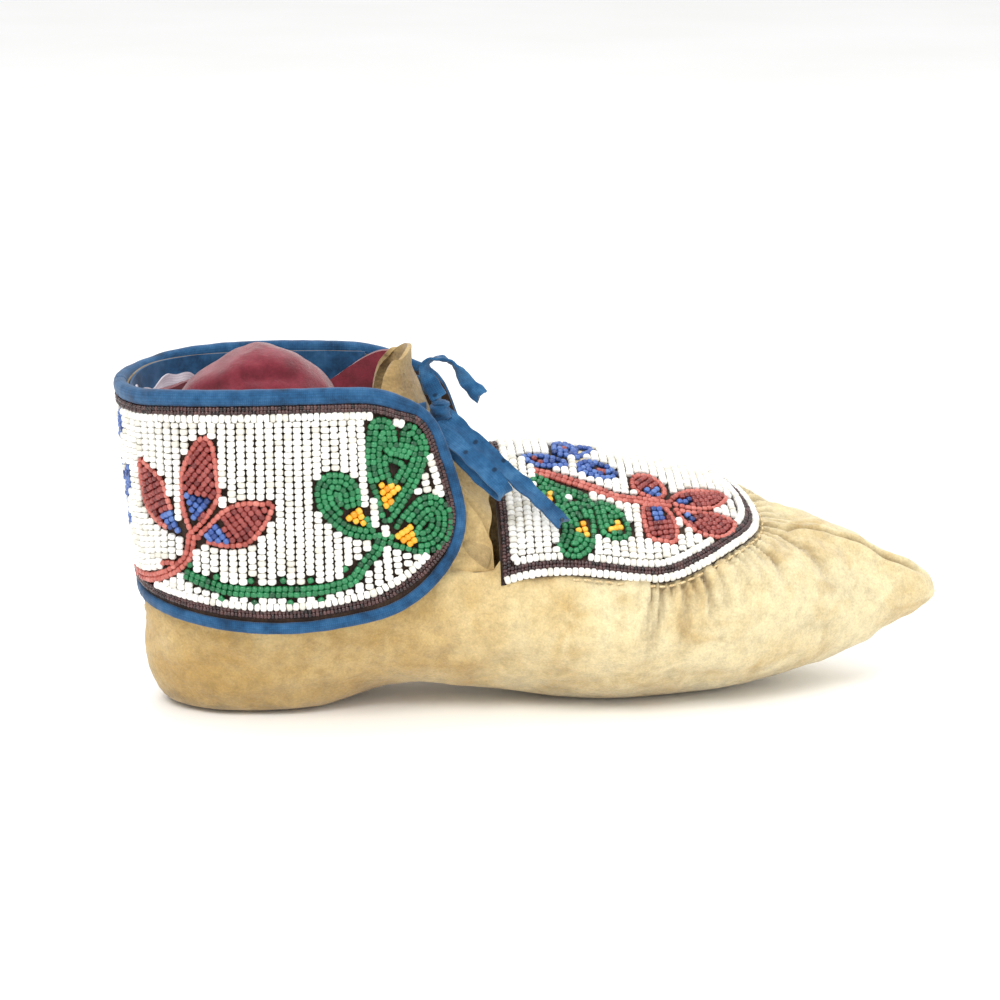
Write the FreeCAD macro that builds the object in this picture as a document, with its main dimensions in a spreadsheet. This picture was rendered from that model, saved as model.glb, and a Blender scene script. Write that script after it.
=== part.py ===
import FreeCAD, Part
import math
import os

from FreeCAD import Placement, Rotation, Vector

# A soft-soled hide moccasin with a bead-worked vamp and a fold-down bead-worked cuff.
# +X points to the toe, -Y to the lateral side, +Z up. Everything is drawn about the ankle and then moved by
# shift_x and shift_y, so that the origin lies under the middle of the whole moccasin, on the ground.

SIZES = {
    "shift_x": -4.56,
    "shift_y": 0.0,
    "hide_thickness": 1.8,
    "bead_depth": 2.0,
    "quarter_top": 50.5,
    "collar_bottom": 50.7,
    "collar_top": 108.4,
    "collar_thickness": 1.5,
    "muslin_thickness": 1.0,
    "wool_thickness": 2.4,
    "wool_bottom": 62.0,
    "wool_top": 106.0,
    "rim_bottom": 108.7,
    "rim_top": 112.0,
    "cuff_gap": 0.4,
    "cloth_thickness": 1.1,
    "flap_top": 108.3,
    "cuff_low": 33.5,
    "binding_width": 3.0,
    "border_width": 3.4,
    "flap_split_x": -76.0,
    "flap_gap": 0.4,
    "vamp_back_x": -9.0,
    "vamp_middle_x": 35.0,
    "vamp_tip_x": 79.0,
    "vamp_half_width": 36.8,
    "edge_row_width": 3.0,
    "tongue_thickness": 1.6,
    "ribbon_width": 6.0,
    "ribbon_thickness": 0.9,
    "knot_length": 9.0,
    "knot_width": 7.5,
    "knot_depth": 5.0,
    "knot_round": 1.8,
    "seam_width": 3.2,
    "seam_depth": 0.8,
}

doc = FreeCAD.newDocument("moccasin")
sheet = doc.addObject("Spreadsheet::Sheet", "sizes")
for row, (alias, value) in enumerate(SIZES.items(), start=1):
    sheet.set("A%d" % row, alias)
    sheet.set("B%d" % row, str(value))
    sheet.setAlias("B%d" % row, alias)
doc.recompute()


def size(alias):
    return float(sheet.get(alias))


FRAME_SHIFT = Vector(size("shift_x"), size("shift_y"), 0)
BEAD_DEPTH = size("bead_depth")
FAR_AWAY = 400.0


def add_piece(label, shape):
    piece = doc.addObject("Part::Feature", label)
    piece.Label = label
    piece.Shape = shape
    piece.Placement = Placement(FRAME_SHIFT, Rotation())
    return piece


def box(x_low, x_high, y_low, y_high, z_low, z_high):
    return Part.makeBox(x_high - x_low, y_high - y_low, z_high - z_low, Vector(x_low, y_low, z_low))


def offset_points(points, distance, normal_axis):
    """Moves each point of a closed outline outwards, in the plane across normal_axis."""
    count = len(points)
    middle = sum(points, Vector()) * (1.0 / count)
    moved = []
    for index, point in enumerate(points):
        along = points[(index + 1) % count] - points[index - 1]
        outward = along.cross(normal_axis)
        outward.normalize()
        if outward.dot(point - middle) < 0:
            outward = outward * -1
        moved.append(point + outward * distance)
    return moved


def closed_curve(points):
    curve = Part.BSplineCurve()
    curve.interpolate(Points=points, PeriodicFlag=True)
    return Part.Wire([curve.toShape()])


# ---------------------------------------------------------------------------------------------------------
# The foot: sections from heel to toe. Each row is the section's place along X, its half width, the height of
# its keel, and the heights of its lateral shoulder, its crest and its medial shoulder.
# Last, how far out the shoulders sit, as a share of the half width.
FOOT_SECTIONS = [
    (-118.5, 9.0, 8.0, 53.0, 60.0, 53.0, 0.97),
    (-113.5, 19.5, 1.8, 53.0, 62.0, 53.0, 0.97),
    (-102.0, 28.0, -0.4, 53.0, 63.0, 53.0, 0.97),
    (-75.0, 33.0, -0.4, 54.0, 64.0, 54.0, 0.96),
    (-45.0, 33.5, 5.0, 54.0, 68.0, 56.0, 0.94),
    (-12.0, 37.0, 3.0, 55.0, 79.0, 66.0, 0.88),
    (20.0, 42.0, -0.4, 49.0, 78.0, 64.0, 0.86),
    (45.0, 41.0, -0.3, 47.0, 72.0, 64.0, 0.86),
    (66.0, 37.0, 1.0, 48.0, 65.0, 62.0, 0.86),
    (80.0, 31.0, 3.0, 46.0, 57.0, 57.0, 0.84),
    (96.0, 24.5, 7.0, 42.0, 54.0, 52.0, 0.82),
    (114.0, 16.0, 13.5, 37.0, 47.0, 44.0, 0.80),
    (129.0, 8.5, 21.0, 33.0, 39.0, 37.0, 0.80),
    (139.0, 2.5, 27.0, 30.0, 32.0, 31.0, 0.80),
]
TOE_SOLID_SECTIONS = 2
TOE_LINING = 3.0


def foot_section(values, swell):
    place, half, keel, lateral, crest, medial, share = values
    outline = [
        (0.0, keel),
        (-0.74 * half, keel + 0.2 * (lateral - keel)),
        (-half, keel + 0.55 * (lateral - keel)),
        (-share * half, lateral),
        (-0.4 * half, lateral + 0.62 * (crest - lateral)),
        (0.22 * half, crest),
        (0.94 * share * half, medial),
        (half, keel + 0.55 * (medial - keel)),
        (0.74 * half, keel + 0.2 * (medial - keel)),
    ]
    points = [Vector(place, y, z) for y, z in outline]
    return closed_curve(offset_points(points, swell, Vector(1, 0, 0)))


def foot_solid(swell, sections, toe_swell=None):
    """The foot's outer shape, grown by swell. The section at the toe may have a growth of its own."""
    if toe_swell is None:
        toe_swell = swell
    first = (sections[0][0] - swell,) + sections[0][1:]
    last = (sections[-1][0] + toe_swell,) + sections[-1][1:]
    wires = [foot_section(values, swell) for values in [first] + sections[1:-1]]
    wires.append(foot_section(last, toe_swell))
    return Part.makeLoft(wires, True, False)


foot_outside = foot_solid(0.0, FOOT_SECTIONS)
hide_inset = -size("hide_thickness")
foot_inside = foot_solid(hide_inset, FOOT_SECTIONS[:-TOE_SOLID_SECTIONS], hide_inset - TOE_LINING)
above_ground = box(-FAR_AWAY, FAR_AWAY, -FAR_AWAY, FAR_AWAY, 0, FAR_AWAY)
hide_shell = foot_outside.cut(foot_inside).common(above_ground)


# ---------------------------------------------------------------------------------------------------------
# The vamp: a U in plan, with a straight back edge, straight sides and half an ellipse for its tip.
def vamp_prism(inset):
    """Everything above and below the vamp's outline, drawn in by inset on every side."""
    back = size("vamp_back_x") + inset
    middle = size("vamp_middle_x")
    half = size("vamp_half_width") - inset
    reach = size("vamp_tip_x") - inset - middle
    tip = Part.ArcOfEllipse(Part.Ellipse(Vector(middle, 0, 0), reach, half), -math.pi / 2, math.pi / 2)
    lateral_side = Part.LineSegment(Vector(back, -half, 0), Vector(middle, -half, 0))
    medial_side = Part.LineSegment(Vector(middle, half, 0), Vector(back, half, 0))
    back_edge = Part.LineSegment(Vector(back, half, 0), Vector(back, -half, 0))
    wire = Part.Wire([lateral_side.toShape(), tip.toShape(), medial_side.toShape(), back_edge.toShape()])
    prism = Part.Face(wire).extrude(Vector(0, 0, 100))
    prism.translate(Vector(0, 0, 42))
    return prism


throat = box(-FAR_AWAY, size("vamp_back_x") - 2.0, -FAR_AWAY, FAR_AWAY, size("quarter_top"), FAR_AWAY)
vamp_area = vamp_prism(0.0)
add_piece("hide_body", hide_shell.cut(throat).cut(vamp_area))
add_piece("vamp_backing", hide_shell.common(vamp_area))

bead_skin = foot_solid(BEAD_DEPTH, FOOT_SECTIONS).cut(foot_outside).common(vamp_area)
edge_inset = size("edge_row_width")
border_inset = edge_inset + size("border_width")
inside_edge = vamp_prism(edge_inset)
inside_border = vamp_prism(border_inset)
add_piece("vamp_edge_beads", bead_skin.cut(inside_edge))
add_piece("vamp_border_beads", bead_skin.common(inside_edge).cut(inside_border))
vamp_field = bead_skin.common(inside_border)


# A motif is cut from its bead sheet with a stencil, a prism deep enough to pass through the sheet and no further.
STENCIL_DEPTH = 120.0
STENCIL_START_Y = 60.0
STENCIL_START_Z = 40.0


def petal(centre, length, width, turn, axis):
    """A tall elliptical prism through a bead sheet. turn is in degrees from +X, seen against the axis."""
    ellipse = Part.Ellipse(Vector(), length / 2.0, width / 2.0)
    prism = Part.Face(Part.Wire([ellipse.toShape()])).extrude(Vector(0, 0, STENCIL_DEPTH))
    prism.rotate(Vector(), Vector(0, 0, 1), turn)
    if axis == "Y":
        prism.rotate(Vector(), Vector(1, 0, 0), 90)
    prism.translate(centre)
    return prism


def leaf_prism(points, axis):
    """A straight-sided prism through a bead sheet, from the corners of its outline in plan or in side view."""
    if axis == "Y":
        corners = [Vector(x, STENCIL_START_Y, z) for x, z in points]
        return Part.Face(Part.makePolygon(corners + corners[:1])).extrude(Vector(0, -STENCIL_DEPTH, 0))
    corners = [Vector(x, y, 0) for x, y in points]
    return Part.Face(Part.makePolygon(corners + corners[:1])).extrude(Vector(0, 0, STENCIL_DEPTH))


def stroke(points, width):
    """The corners of a strip of the given width along a line of points."""
    left = []
    right = []
    last = len(points) - 1
    for index, (across, up) in enumerate(points):
        before = points[max(index - 1, 0)]
        after = points[min(index + 1, last)]
        run = math.hypot(after[0] - before[0], after[1] - before[1])
        side_x = -(after[1] - before[1]) / run * width / 2.0
        side_y = (after[0] - before[0]) / run * width / 2.0
        left.append((across + side_x, up + side_y))
        right.append((across - side_x, up - side_y))
    return left + right[::-1]


def inlay(field, motifs):
    """Cuts each motif out of the field of beads in turn and adds it as a piece of its own."""
    for label, prisms in motifs:
        stencil = prisms[0]
        if len(prisms) > 1:
            stencil = stencil.fuse(prisms[1:])
        add_piece(label, field.common(stencil))
        field = field.cut(stencil)
    return field


def plan(x, y):
    return Vector(x, y, STENCIL_START_Z)


VAMP_MOTIFS = [
    ("vamp_orange_hearts", [petal(plan(6, -14), 6, 5, 0, "Z"),
                            petal(plan(22, -20), 6, 5, 30, "Z"),
                            petal(plan(33, -18), 6, 5, 0, "Z")]),
    ("vamp_red_flower", [petal(plan(47, 6), 13, 9, 120, "Z"),
                         petal(plan(62, 5), 14, 8, 40, "Z"),
                         petal(plan(46, -8), 13, 9, 60, "Z"),
                         petal(plan(62, -7), 15, 8, -25, "Z"),
                         petal(plan(54, -1), 8, 6, 0, "Z")]),
    ("vamp_green_leaves", [petal(plan(4, -13), 17, 11, -10, "Z"),
                           petal(plan(20, -21), 22, 13, 60, "Z"),
                           petal(plan(35, -18), 20, 11, 10, "Z")]),
    ("vamp_blue_flower", [petal(plan(6, 16), 12, 7, 150, "Z"),
                          petal(plan(14, 22), 14, 7, 70, "Z"),
                          petal(plan(24, 20), 15, 7, 20, "Z"),
                          petal(plan(18, 14), 13, 7, -20, "Z")]),
    ("vamp_coral_stem", [leaf_prism([(18, 7), (20, 9.5), (41, 5), (41, 2.5)], "Z")]),
]
add_piece("vamp_white_beads", inlay(vamp_field, VAMP_MOTIFS))

# The gathering thread lies in the groove round the vamp's tip, half sunk in the hide.
stitch_skin = foot_solid(0.6, FOOT_SECTIONS).cut(foot_outside)
stitch_zone = vamp_prism(-1.4).cut(vamp_prism(-0.2)).common(
    box(size("vamp_back_x"), FAR_AWAY, -FAR_AWAY, FAR_AWAY, 0, FAR_AWAY))
add_piece("vamp_gathering_thread", stitch_skin.common(stitch_zone))

# The toe seam closes the hide over the toes, a little to the lateral side of the crest.
seam_skin = foot_solid(size("seam_depth"), FOOT_SECTIONS).cut(foot_outside)
toe_seam_zone = box(82, 133, -4 - size("seam_width") / 2.0, -4 + size("seam_width") / 2.0, 28, FAR_AWAY)
add_piece("toe_seam", seam_skin.common(toe_seam_zone))

# ---------------------------------------------------------------------------------------------------------
# The ankle: every wall round it follows two plan outlines, one low and one high, half of each listed from
# the heel to the front and mirrored to the other side.
ANKLE_HIGH = 110.0
CUFF_LOW = 32.0
COLLAR_LOW = size("collar_bottom")
ANKLE_HIGH_PLAN = [(-126.5, 0), (-123, 15), (-112, 28), (-95, 35), (-75, 36.2), (-50, 33), (-28, 26.5), (-10, 16),
                   (-3, 0)]
CUFF_LOW_PLAN = [(-120.5, 0), (-117.5, 16), (-109, 28), (-95, 35.5), (-75, 38.2), (-50, 38.3), (-24, 37.5),
                 (0, 27), (9, 0)]
COLLAR_LOW_PLAN = [(-118.5, 0), (-116.5, 11.5), (-110.5, 21.5), (-98, 29.0), (-75, 32.0), (-45, 31.8), (-15, 31),
                   (8, 22), (18, 0)]


def ankle_outline(half, height, swell):
    medial = [Vector(x, y, height) for x, y in half]
    lateral = [Vector(x, -y, height) for x, y in reversed(half[1:-1])]
    return closed_curve(offset_points(medial + lateral, swell, Vector(0, 0, 1)))


def ankle_solid(low_plan, low_height, swell):
    low = ankle_outline(low_plan, low_height, swell)
    high = ankle_outline(ANKLE_HIGH_PLAN, ANKLE_HIGH, swell)
    return Part.makeLoft([low, high], True, True)


def ankle_wall(low_plan, low_height, inner, outer):
    return ankle_solid(low_plan, low_height, outer).cut(ankle_solid(low_plan, low_height, inner))


def side_prism(corners):
    """A side-view outline run through the whole width of the moccasin."""
    points = [Vector(x, FAR_AWAY, z) for x, z in corners]
    return Part.Face(Part.makePolygon(points + points[:1])).extrude(Vector(0, -2 * FAR_AWAY, 0))


collar_area = side_prism([(-200, COLLAR_LOW), (-200, size("collar_top")), (-50, size("collar_top")), (-35, 100),
                          (-29, 84), (-24, COLLAR_LOW)])
collar_inner = -size("collar_thickness")
add_piece("ankle_collar", ankle_wall(COLLAR_LOW_PLAN, COLLAR_LOW, collar_inner, 0.0).common(collar_area))

quarter_seam_area = box(-200, -27, -FAR_AWAY, FAR_AWAY, COLLAR_LOW, COLLAR_LOW + size("seam_width"))
quarter_seam = ankle_wall(COLLAR_LOW_PLAN, COLLAR_LOW, 0.0, size("seam_depth")).common(quarter_seam_area)
add_piece("quarter_seam_stitches", quarter_seam)

muslin_inner = collar_inner - size("muslin_thickness")
muslin_area = box(-200, -92, -FAR_AWAY, FAR_AWAY, size("wool_bottom"), size("collar_top"))
add_piece("muslin_lining", ankle_wall(COLLAR_LOW_PLAN, COLLAR_LOW, muslin_inner, collar_inner).common(muslin_area))

wool_inner = muslin_inner - size("wool_thickness")
wool_area = box(-200, -58, -FAR_AWAY, FAR_AWAY, size("wool_bottom"), size("wool_top"))
wool_wall = ankle_wall(COLLAR_LOW_PLAN, COLLAR_LOW, wool_inner, muslin_inner).common(wool_area)
# The loose wool is bunched up in a fold that stands above the rim on the medial side.
WOOL_FOLD_MIDDLE = Vector(-88, 20, 96)
WOOL_FOLD_HALF_SIZES = Vector(24, 13, 19)
fold = Part.makeSphere(1.0)
stretch = FreeCAD.Matrix()
stretch.scale(WOOL_FOLD_HALF_SIZES)
fold = fold.transformGeometry(stretch)
fold.translate(WOOL_FOLD_MIDDLE)
inside_collar = ankle_solid(COLLAR_LOW_PLAN, COLLAR_LOW, muslin_inner)
above_rim = box(-200, 0, -FAR_AWAY, FAR_AWAY, ANKLE_HIGH - 0.01, 140)
wool_fold = fold.common(inside_collar.fuse(above_rim))
add_piece("red_wool_lining", wool_wall.fuse(wool_fold).removeSplitter())

rim_area = box(-200, -50, -FAR_AWAY, FAR_AWAY, size("rim_bottom"), size("rim_top"))
RIM_PLAN_WALL = (-2.2, 3.2)


def upright_wall(plan_half, inner, outer, low, high):
    """A wall with the same outline from its foot to its top."""
    up = Vector(0, 0, high - low)
    outer_solid = Part.Face(ankle_outline(plan_half, low, outer)).extrude(up)
    return outer_solid.cut(Part.Face(ankle_outline(plan_half, low, inner)).extrude(up))


rim = upright_wall(ANKLE_HIGH_PLAN, RIM_PLAN_WALL[0], RIM_PLAN_WALL[1], size("rim_bottom"), size("rim_top"))
add_piece("rim_binding", rim.common(rim_area))

# ---------------------------------------------------------------------------------------------------------
# The cuff. Its two front parts lift as flaps and its heel part stays, all cut from one wall.
cloth_inner = size("cuff_gap")
cloth_outer = cloth_inner + size("cloth_thickness")
cuff_cloth = ankle_wall(CUFF_LOW_PLAN, CUFF_LOW, cloth_inner, cloth_outer)
cuff_face = ankle_wall(CUFF_LOW_PLAN, CUFF_LOW, cloth_outer, cloth_outer + BEAD_DEPTH)


def flap_area(inset):
    """The flap's side view: a level top, a sloping shoulder, a leaning front edge and rounded corners."""
    back = size("flap_split_x") + size("flap_gap")
    top = size("flap_top")
    low = size("cuff_low")
    corners = [Vector(back, FAR_AWAY, low), Vector(back, FAR_AWAY, top), Vector(-49, FAR_AWAY, top),
               Vector(-29, FAR_AWAY, 104), Vector(-19, FAR_AWAY, 66), Vector(-24, FAR_AWAY, 44),
               Vector(-50, FAR_AWAY, low + 2.5)]
    roundings = [0, 0, 20, 12, 30, 24, 60]
    wire = rounded_outline(corners, roundings)
    if inset > 0:
        wire = wire.makeOffset2D(-inset)
    prism = Part.Face(wire).extrude(Vector(0, -2 * FAR_AWAY, 0))
    if inset > 0:
        # The back edge isn't hemmed, because the beadwork runs on round the heel.
        strip = box(back, back + inset + 5, -FAR_AWAY, FAR_AWAY, low + inset, top - inset)
        prism = prism.fuse(strip)
    return prism


def rounded_outline(corners, roundings):
    """A closed outline of straight edges, with an arc of the given radius at each corner."""
    arcs = []
    starts = []
    ends = []
    count = len(corners)
    for index, corner in enumerate(corners):
        towards_last = (corners[index - 1] - corner).normalize()
        towards_next = (corners[(index + 1) % count] - corner).normalize()
        radius = roundings[index]
        half_angle = towards_last.getAngle(towards_next) / 2.0
        setback = radius / math.tan(half_angle)
        start = corner + towards_last * setback
        end = corner + towards_next * setback
        starts.append(start)
        ends.append(end)
        if radius > 0:
            bisector = (towards_last + towards_next).normalize()
            middle = corner + bisector * (radius / math.sin(half_angle) - radius)
            arcs.append([Part.Arc(start, middle, end).toShape()])
        else:
            arcs.append([])
    edges = []
    for index in range(count):
        edges = edges + arcs[index]
        edges.append(Part.LineSegment(ends[index], starts[(index + 1) % count]).toShape())
    return Part.Wire(edges)


lateral_half = box(-FAR_AWAY, FAR_AWAY, -FAR_AWAY, 0, -FAR_AWAY, FAR_AWAY)
medial_half = box(-FAR_AWAY, FAR_AWAY, 0, FAR_AWAY, -FAR_AWAY, FAR_AWAY)
cloth_area = flap_area(0.0)
hem_inset = size("binding_width")
border_end = hem_inset + size("border_width")
inside_hem = flap_area(hem_inset)
inside_bead_border = flap_area(border_end)


def side_view(x, z):
    return Vector(x, STENCIL_START_Y, z)


VINE = stroke([(-108, 55), (-94, 48.7), (-85, 46.5), (-72.4, 46.5), (-60, 48.7), (-49, 59), (-46.5, 66)], 4.0)
FLAP_MOTIFS = [
    ("orange_hearts", [leaf_prism([(-47.7, 80.6), (-40.6, 80.4), (-44.1, 71)], "Y"),
                       leaf_prism([(-59.2, 72.6), (-51.8, 74), (-50, 66)], "Y"),
                       leaf_prism([(-44.8, 67.4), (-35.4, 68.8), (-35.5, 60.7)], "Y")]),
    ("green_leaf", [petal(side_view(-46, 87), 25, 11, 110, "Y"),
                    petal(side_view(-38.5, 85), 25, 11, 72, "Y"),
                    petal(side_view(-58, 75), 20, 15, -42, "Y"),
                    petal(side_view(-35, 68), 20, 15, 12, "Y")]),
    ("green_vine", [leaf_prism(VINE, "Y")]),
]
HEEL_MOTIFS = [
    ("blue_petal_bases", [petal(side_view(-107.8, 69.3), 9, 5, 120, "Y"),
                          petal(side_view(-103.8, 71), 10, 6, 78, "Y"),
                          petal(side_view(-99.8, 66.8), 10, 5, 24, "Y")]),
    ("red_flowers", [petal(side_view(-112.8, 77.6), 29, 11, 120, "Y"),
                     petal(side_view(-101.6, 81), 30, 13, 78, "Y"),
                     petal(side_view(-92.5, 70.5), 27, 12, 24, "Y")]),
    ("coral_stems", [leaf_prism(stroke([(-105, 66), (-107, 57), (-115, 52), (-118, 52)], 3.5), "Y")]),
    ("green_vines", [leaf_prism(VINE, "Y")]),
]


def prefixed(side, motifs):
    return [(side + "_" + name, prisms) for name, prisms in motifs]


def add_flap(side, half):
    cloth = cuff_cloth.common(cloth_area).common(half)
    face = cuff_face.common(cloth_area).common(half)
    beads = face.common(inside_hem)
    add_piece(side + "_flap_cloth", cloth)
    add_piece(side + "_flap_binding", face.cut(inside_hem))
    add_piece(side + "_flap_border_beads", beads.cut(inside_bead_border))
    field = beads.common(inside_bead_border)
    add_piece(side + "_flap_white_beads", inlay(field, prefixed(side + "_flap", FLAP_MOTIFS)))


def heel_area(inset):
    return box(-200, size("flap_split_x"), -FAR_AWAY, FAR_AWAY, size("cuff_low") + inset, size("flap_top") - inset)


# The blue flower at the back of the heel: three petals that fan out from one foot.
HEEL_PETAL_TURNS = (35, 90, 145)
HEEL_PETAL_LENGTH = 22.0
HEEL_PETAL_WIDTH = 9.0
HEEL_PETAL_REACH = 13.0
HEEL_FLOWER_FOOT = Vector(-150, 0, 68)


def add_heel_cuff():
    face = cuff_face.common(heel_area(0.0))
    beads = face.common(heel_area(hem_inset))
    add_piece("heel_cuff_cloth", cuff_cloth.common(heel_area(0.0)))
    add_piece("heel_cuff_binding", face.cut(heel_area(hem_inset)))
    add_piece("heel_cuff_border_beads", beads.cut(heel_area(border_end)))
    field = inlay(beads.common(heel_area(border_end)), prefixed("heel_cuff", HEEL_MOTIFS))
    heel_petals = []
    for turn in HEEL_PETAL_TURNS:
        blade = petal(Vector(), HEEL_PETAL_LENGTH, HEEL_PETAL_WIDTH, turn, "Y")
        blade.rotate(Vector(), Vector(0, 0, 1), 90)
        sideways = HEEL_PETAL_REACH * math.cos(math.radians(turn))
        upwards = HEEL_PETAL_REACH * math.sin(math.radians(turn))
        blade.translate(HEEL_FLOWER_FOOT + Vector(0, sideways, upwards))
        heel_petals.append(blade)
    add_piece("heel_cuff_white_beads", inlay(field, [("heel_cuff_blue_flower", heel_petals)]))


add_flap("lateral", lateral_half)
add_flap("medial", medial_half)
add_heel_cuff()

# ---------------------------------------------------------------------------------------------------------
# The tongue: three arches, the lowest across the instep behind the vamp and the highest round the shin. Each
# row is the arch's front middle, then how far back, how far down and how far out its foot is from there.
TONGUE_ARCHES = [
    ((-11.8, 77.0), 1.0, 25.5, 31.0),
    ((-30.0, 95.0), 15.0, 12.0, 25.0),
    ((-39.5, 116.5), 15.0, 5.0, 19.0),
]


def arch_wire(front, back_by, down_by, out_by, thickness):
    """A crescent: the arch's outer line, then its inner line one thickness inside it."""
    x_front, z_front = front
    outer = []
    inner = []
    slope = math.hypot(back_by, down_by)
    for step in range(-4, 5):
        angle = math.radians(90.0 * step / 4)
        sag = 1 - math.cos(angle)
        depth = Vector(-back_by * sag, out_by * math.sin(angle), -down_by * sag)
        outer.append(Vector(x_front, 0, z_front) + depth)
        shrink = 1 - thickness / out_by
        inward = Vector(-back_by, 0, -down_by) * (thickness / slope)
        inner.append(Vector(x_front, 0, z_front) + inward
                     + Vector(depth.x * (1 - thickness / slope), depth.y * shrink, depth.z * (1 - thickness / slope)))
    outer_curve = Part.BSplineCurve()
    outer_curve.interpolate(Points=outer)
    inner_curve = Part.BSplineCurve()
    inner_curve.interpolate(Points=inner)
    foot_a = Part.LineSegment(outer[-1], inner[-1])
    foot_b = Part.LineSegment(inner[0], outer[0])
    return Part.Wire([outer_curve.toShape(), foot_a.toShape(), inner_curve.toShape(), foot_b.toShape()])


arches = [arch_wire(front, back, down, out, size("tongue_thickness")) for front, back, down, out in TONGUE_ARCHES]
add_piece("tongue", Part.makeLoft(arches, True, False))


# ---------------------------------------------------------------------------------------------------------
# Pieces made in the PartDesign way: a sketch on one of the body's own planes, then a pad.
def origin_plane(body, role):
    return [plane for plane in body.Origin.OriginFeatures if plane.Role == role][0]


def padded_body(label, edges, length_alias, placement):
    """A body padded to both sides of a sketch on its own XY plane."""
    body = doc.addObject("PartDesign::Body", label)
    body.Label = label
    sketch = body.newObject("Sketcher::SketchObject", label + "_sketch")
    sketch.AttachmentSupport = [(origin_plane(body, "XY_Plane"), "")]
    sketch.MapMode = "FlatFace"
    for edge in edges:
        sketch.addGeometry(edge, False)
    pad = body.newObject("PartDesign::Pad", label + "_pad")
    pad.Profile = sketch
    pad.Midplane = True
    pad.setExpression("Length", "sizes." + length_alias)
    body.Tip = pad
    body.Placement = Placement(FRAME_SHIFT, Rotation()) * placement
    doc.recompute()
    return body


def ribbon_edges(route, thickness):
    """The outline of a ribbon seen on its edge: straight runs joined by tangent arcs."""
    points = [Vector(u, v, 0) for u, v in route]
    sides = {1: [], -1: []}
    up = Vector(0, 0, 1)
    runs = [points[i + 1] - points[i] for i in range(len(points) - 1)]
    previous = {}
    for side in sides:
        previous[side] = points[0] + up.cross(runs[0]).normalize() * (side * thickness / 2.0)
    starts = dict(previous)
    for index in range(1, len(points) - 1):
        before = Vector(runs[index - 1]).normalize()
        after = Vector(runs[index]).normalize()
        turn = before.getAngle(after)
        bend = 1 if before.cross(after).z > 0 else -1
        shorter = min(runs[index - 1].Length, runs[index].Length)
        setback = 0.45 * shorter
        radius = setback / math.tan(turn / 2.0)
        centre = points[index] - before * setback + up.cross(before).normalize() * (bend * radius)
        first = points[index] - before * setback - centre
        final = points[index] + after * setback - centre
        half_way = (first + final).normalize()
        for side in sides:
            reach = radius - side * bend * thickness / 2.0
            start = centre + Vector(first).normalize() * reach
            end = centre + Vector(final).normalize() * reach
            sides[side].append(Part.LineSegment(previous[side], start))
            sides[side].append(Part.Arc(start, centre + half_way * reach, end))
            previous[side] = end
    for side in sides:
        end = points[-1] + up.cross(runs[-1]).normalize() * (side * thickness / 2.0)
        sides[side].append(Part.LineSegment(previous[side], end))
        previous[side] = end
    caps = [Part.LineSegment(starts[1], starts[-1]), Part.LineSegment(previous[1], previous[-1])]
    return sides[1] + sides[-1] + caps


def ribbon_placement(start, end, face):
    """A ribbon's own frame: X runs from start to end, Y is the way its face looks, Z is across its width."""
    along = (end - start).normalize()
    across = along.cross(face).normalize()
    return Placement(start, Rotation(along, across.cross(along), across, "XZY"))


KNOT = Vector(-27.5, -15.5, 98.5)
RIBBON_FACE = Vector(0.15, -0.85, 0.5)
RIBBONS = [
    ("lace_lower_tail", Vector(-24.0, -16.5, 95.5), Vector(10.5, -35, 65),
     [(0, 0), (12, 1.6), (25, 0.4), (37, 1.8), (49, 0)]),
    ("lace_lower_loop", Vector(-28.3, -19.7, 94.7), Vector(-6.3, -36.7, 76.2),
     [(0, 1.2), (10, 4.6), (22, 5.0), (32, 3.6), (32.5, -0.8), (22, -1.0), (11, -0.6), (1.5, -0.2)]),
    ("lace_upper_tail", Vector(-29.0, -15.5, 102.5), Vector(-14.0, -17.0, 104.5),
     [(0, 0), (-4.5, 9), (0, 15), (7.5, 13), (13, 6), (17, 0)]),
]
for label, start, end, route in RIBBONS:
    if label == "lace_upper_tail":
        frame = ribbon_placement(start, end, Vector(0, 0, 1))
    else:
        frame = ribbon_placement(start, end, RIBBON_FACE)
    padded_body(label, ribbon_edges(route, size("ribbon_thickness")), "ribbon_width", frame)

# The knot: a pillow of cloth, padded and rounded.
knot_half_length = size("knot_length") / 2.0
knot_half_width = size("knot_width") / 2.0
knot_corners = [Vector(-knot_half_length, -knot_half_width, 0), Vector(knot_half_length, -knot_half_width, 0),
                Vector(knot_half_length, knot_half_width, 0), Vector(-knot_half_length, knot_half_width, 0)]
knot_edges = [Part.LineSegment(knot_corners[i], knot_corners[(i + 1) % 4]) for i in range(4)]
knot_frame = Placement(KNOT, Rotation(Vector(0, 0, 1), Vector(0.1, -0.9, 0.35)))
knot = padded_body("lace_knot", knot_edges, "knot_depth", knot_frame)
knot_pad = knot.Tip
rounding = knot.newObject("PartDesign::Fillet", "knot_rounding")
rounding.Base = (knot_pad, ["Edge%d" % (index + 1) for index in range(len(knot_pad.Shape.Edges))])
rounding.setExpression("Radius", "sizes.knot_round")
knot.Tip = rounding

# The two bands of lace come round the tongue from the collar's front edges to the knot.
BAND_LOW = 95.5
LACE_BANDS = [
    ("lace_lateral_band", [(-36, -27.0), (-33.8, -21.5), (-32.2, -16.5)]),
    ("lace_medial_band", [(-36, 27.0), (-30.5, 19), (-27.5, 8), (-26.5, -4), (-27.5, -12.0)]),
]
for label, route in LACE_BANDS:
    corners = [Vector(x, y, BAND_LOW) for x, y in stroke(route, size("ribbon_thickness"))]
    band = Part.Face(Part.makePolygon(corners + corners[:1])).extrude(Vector(0, 0, size("ribbon_width")))
    add_piece(label, band)

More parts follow.
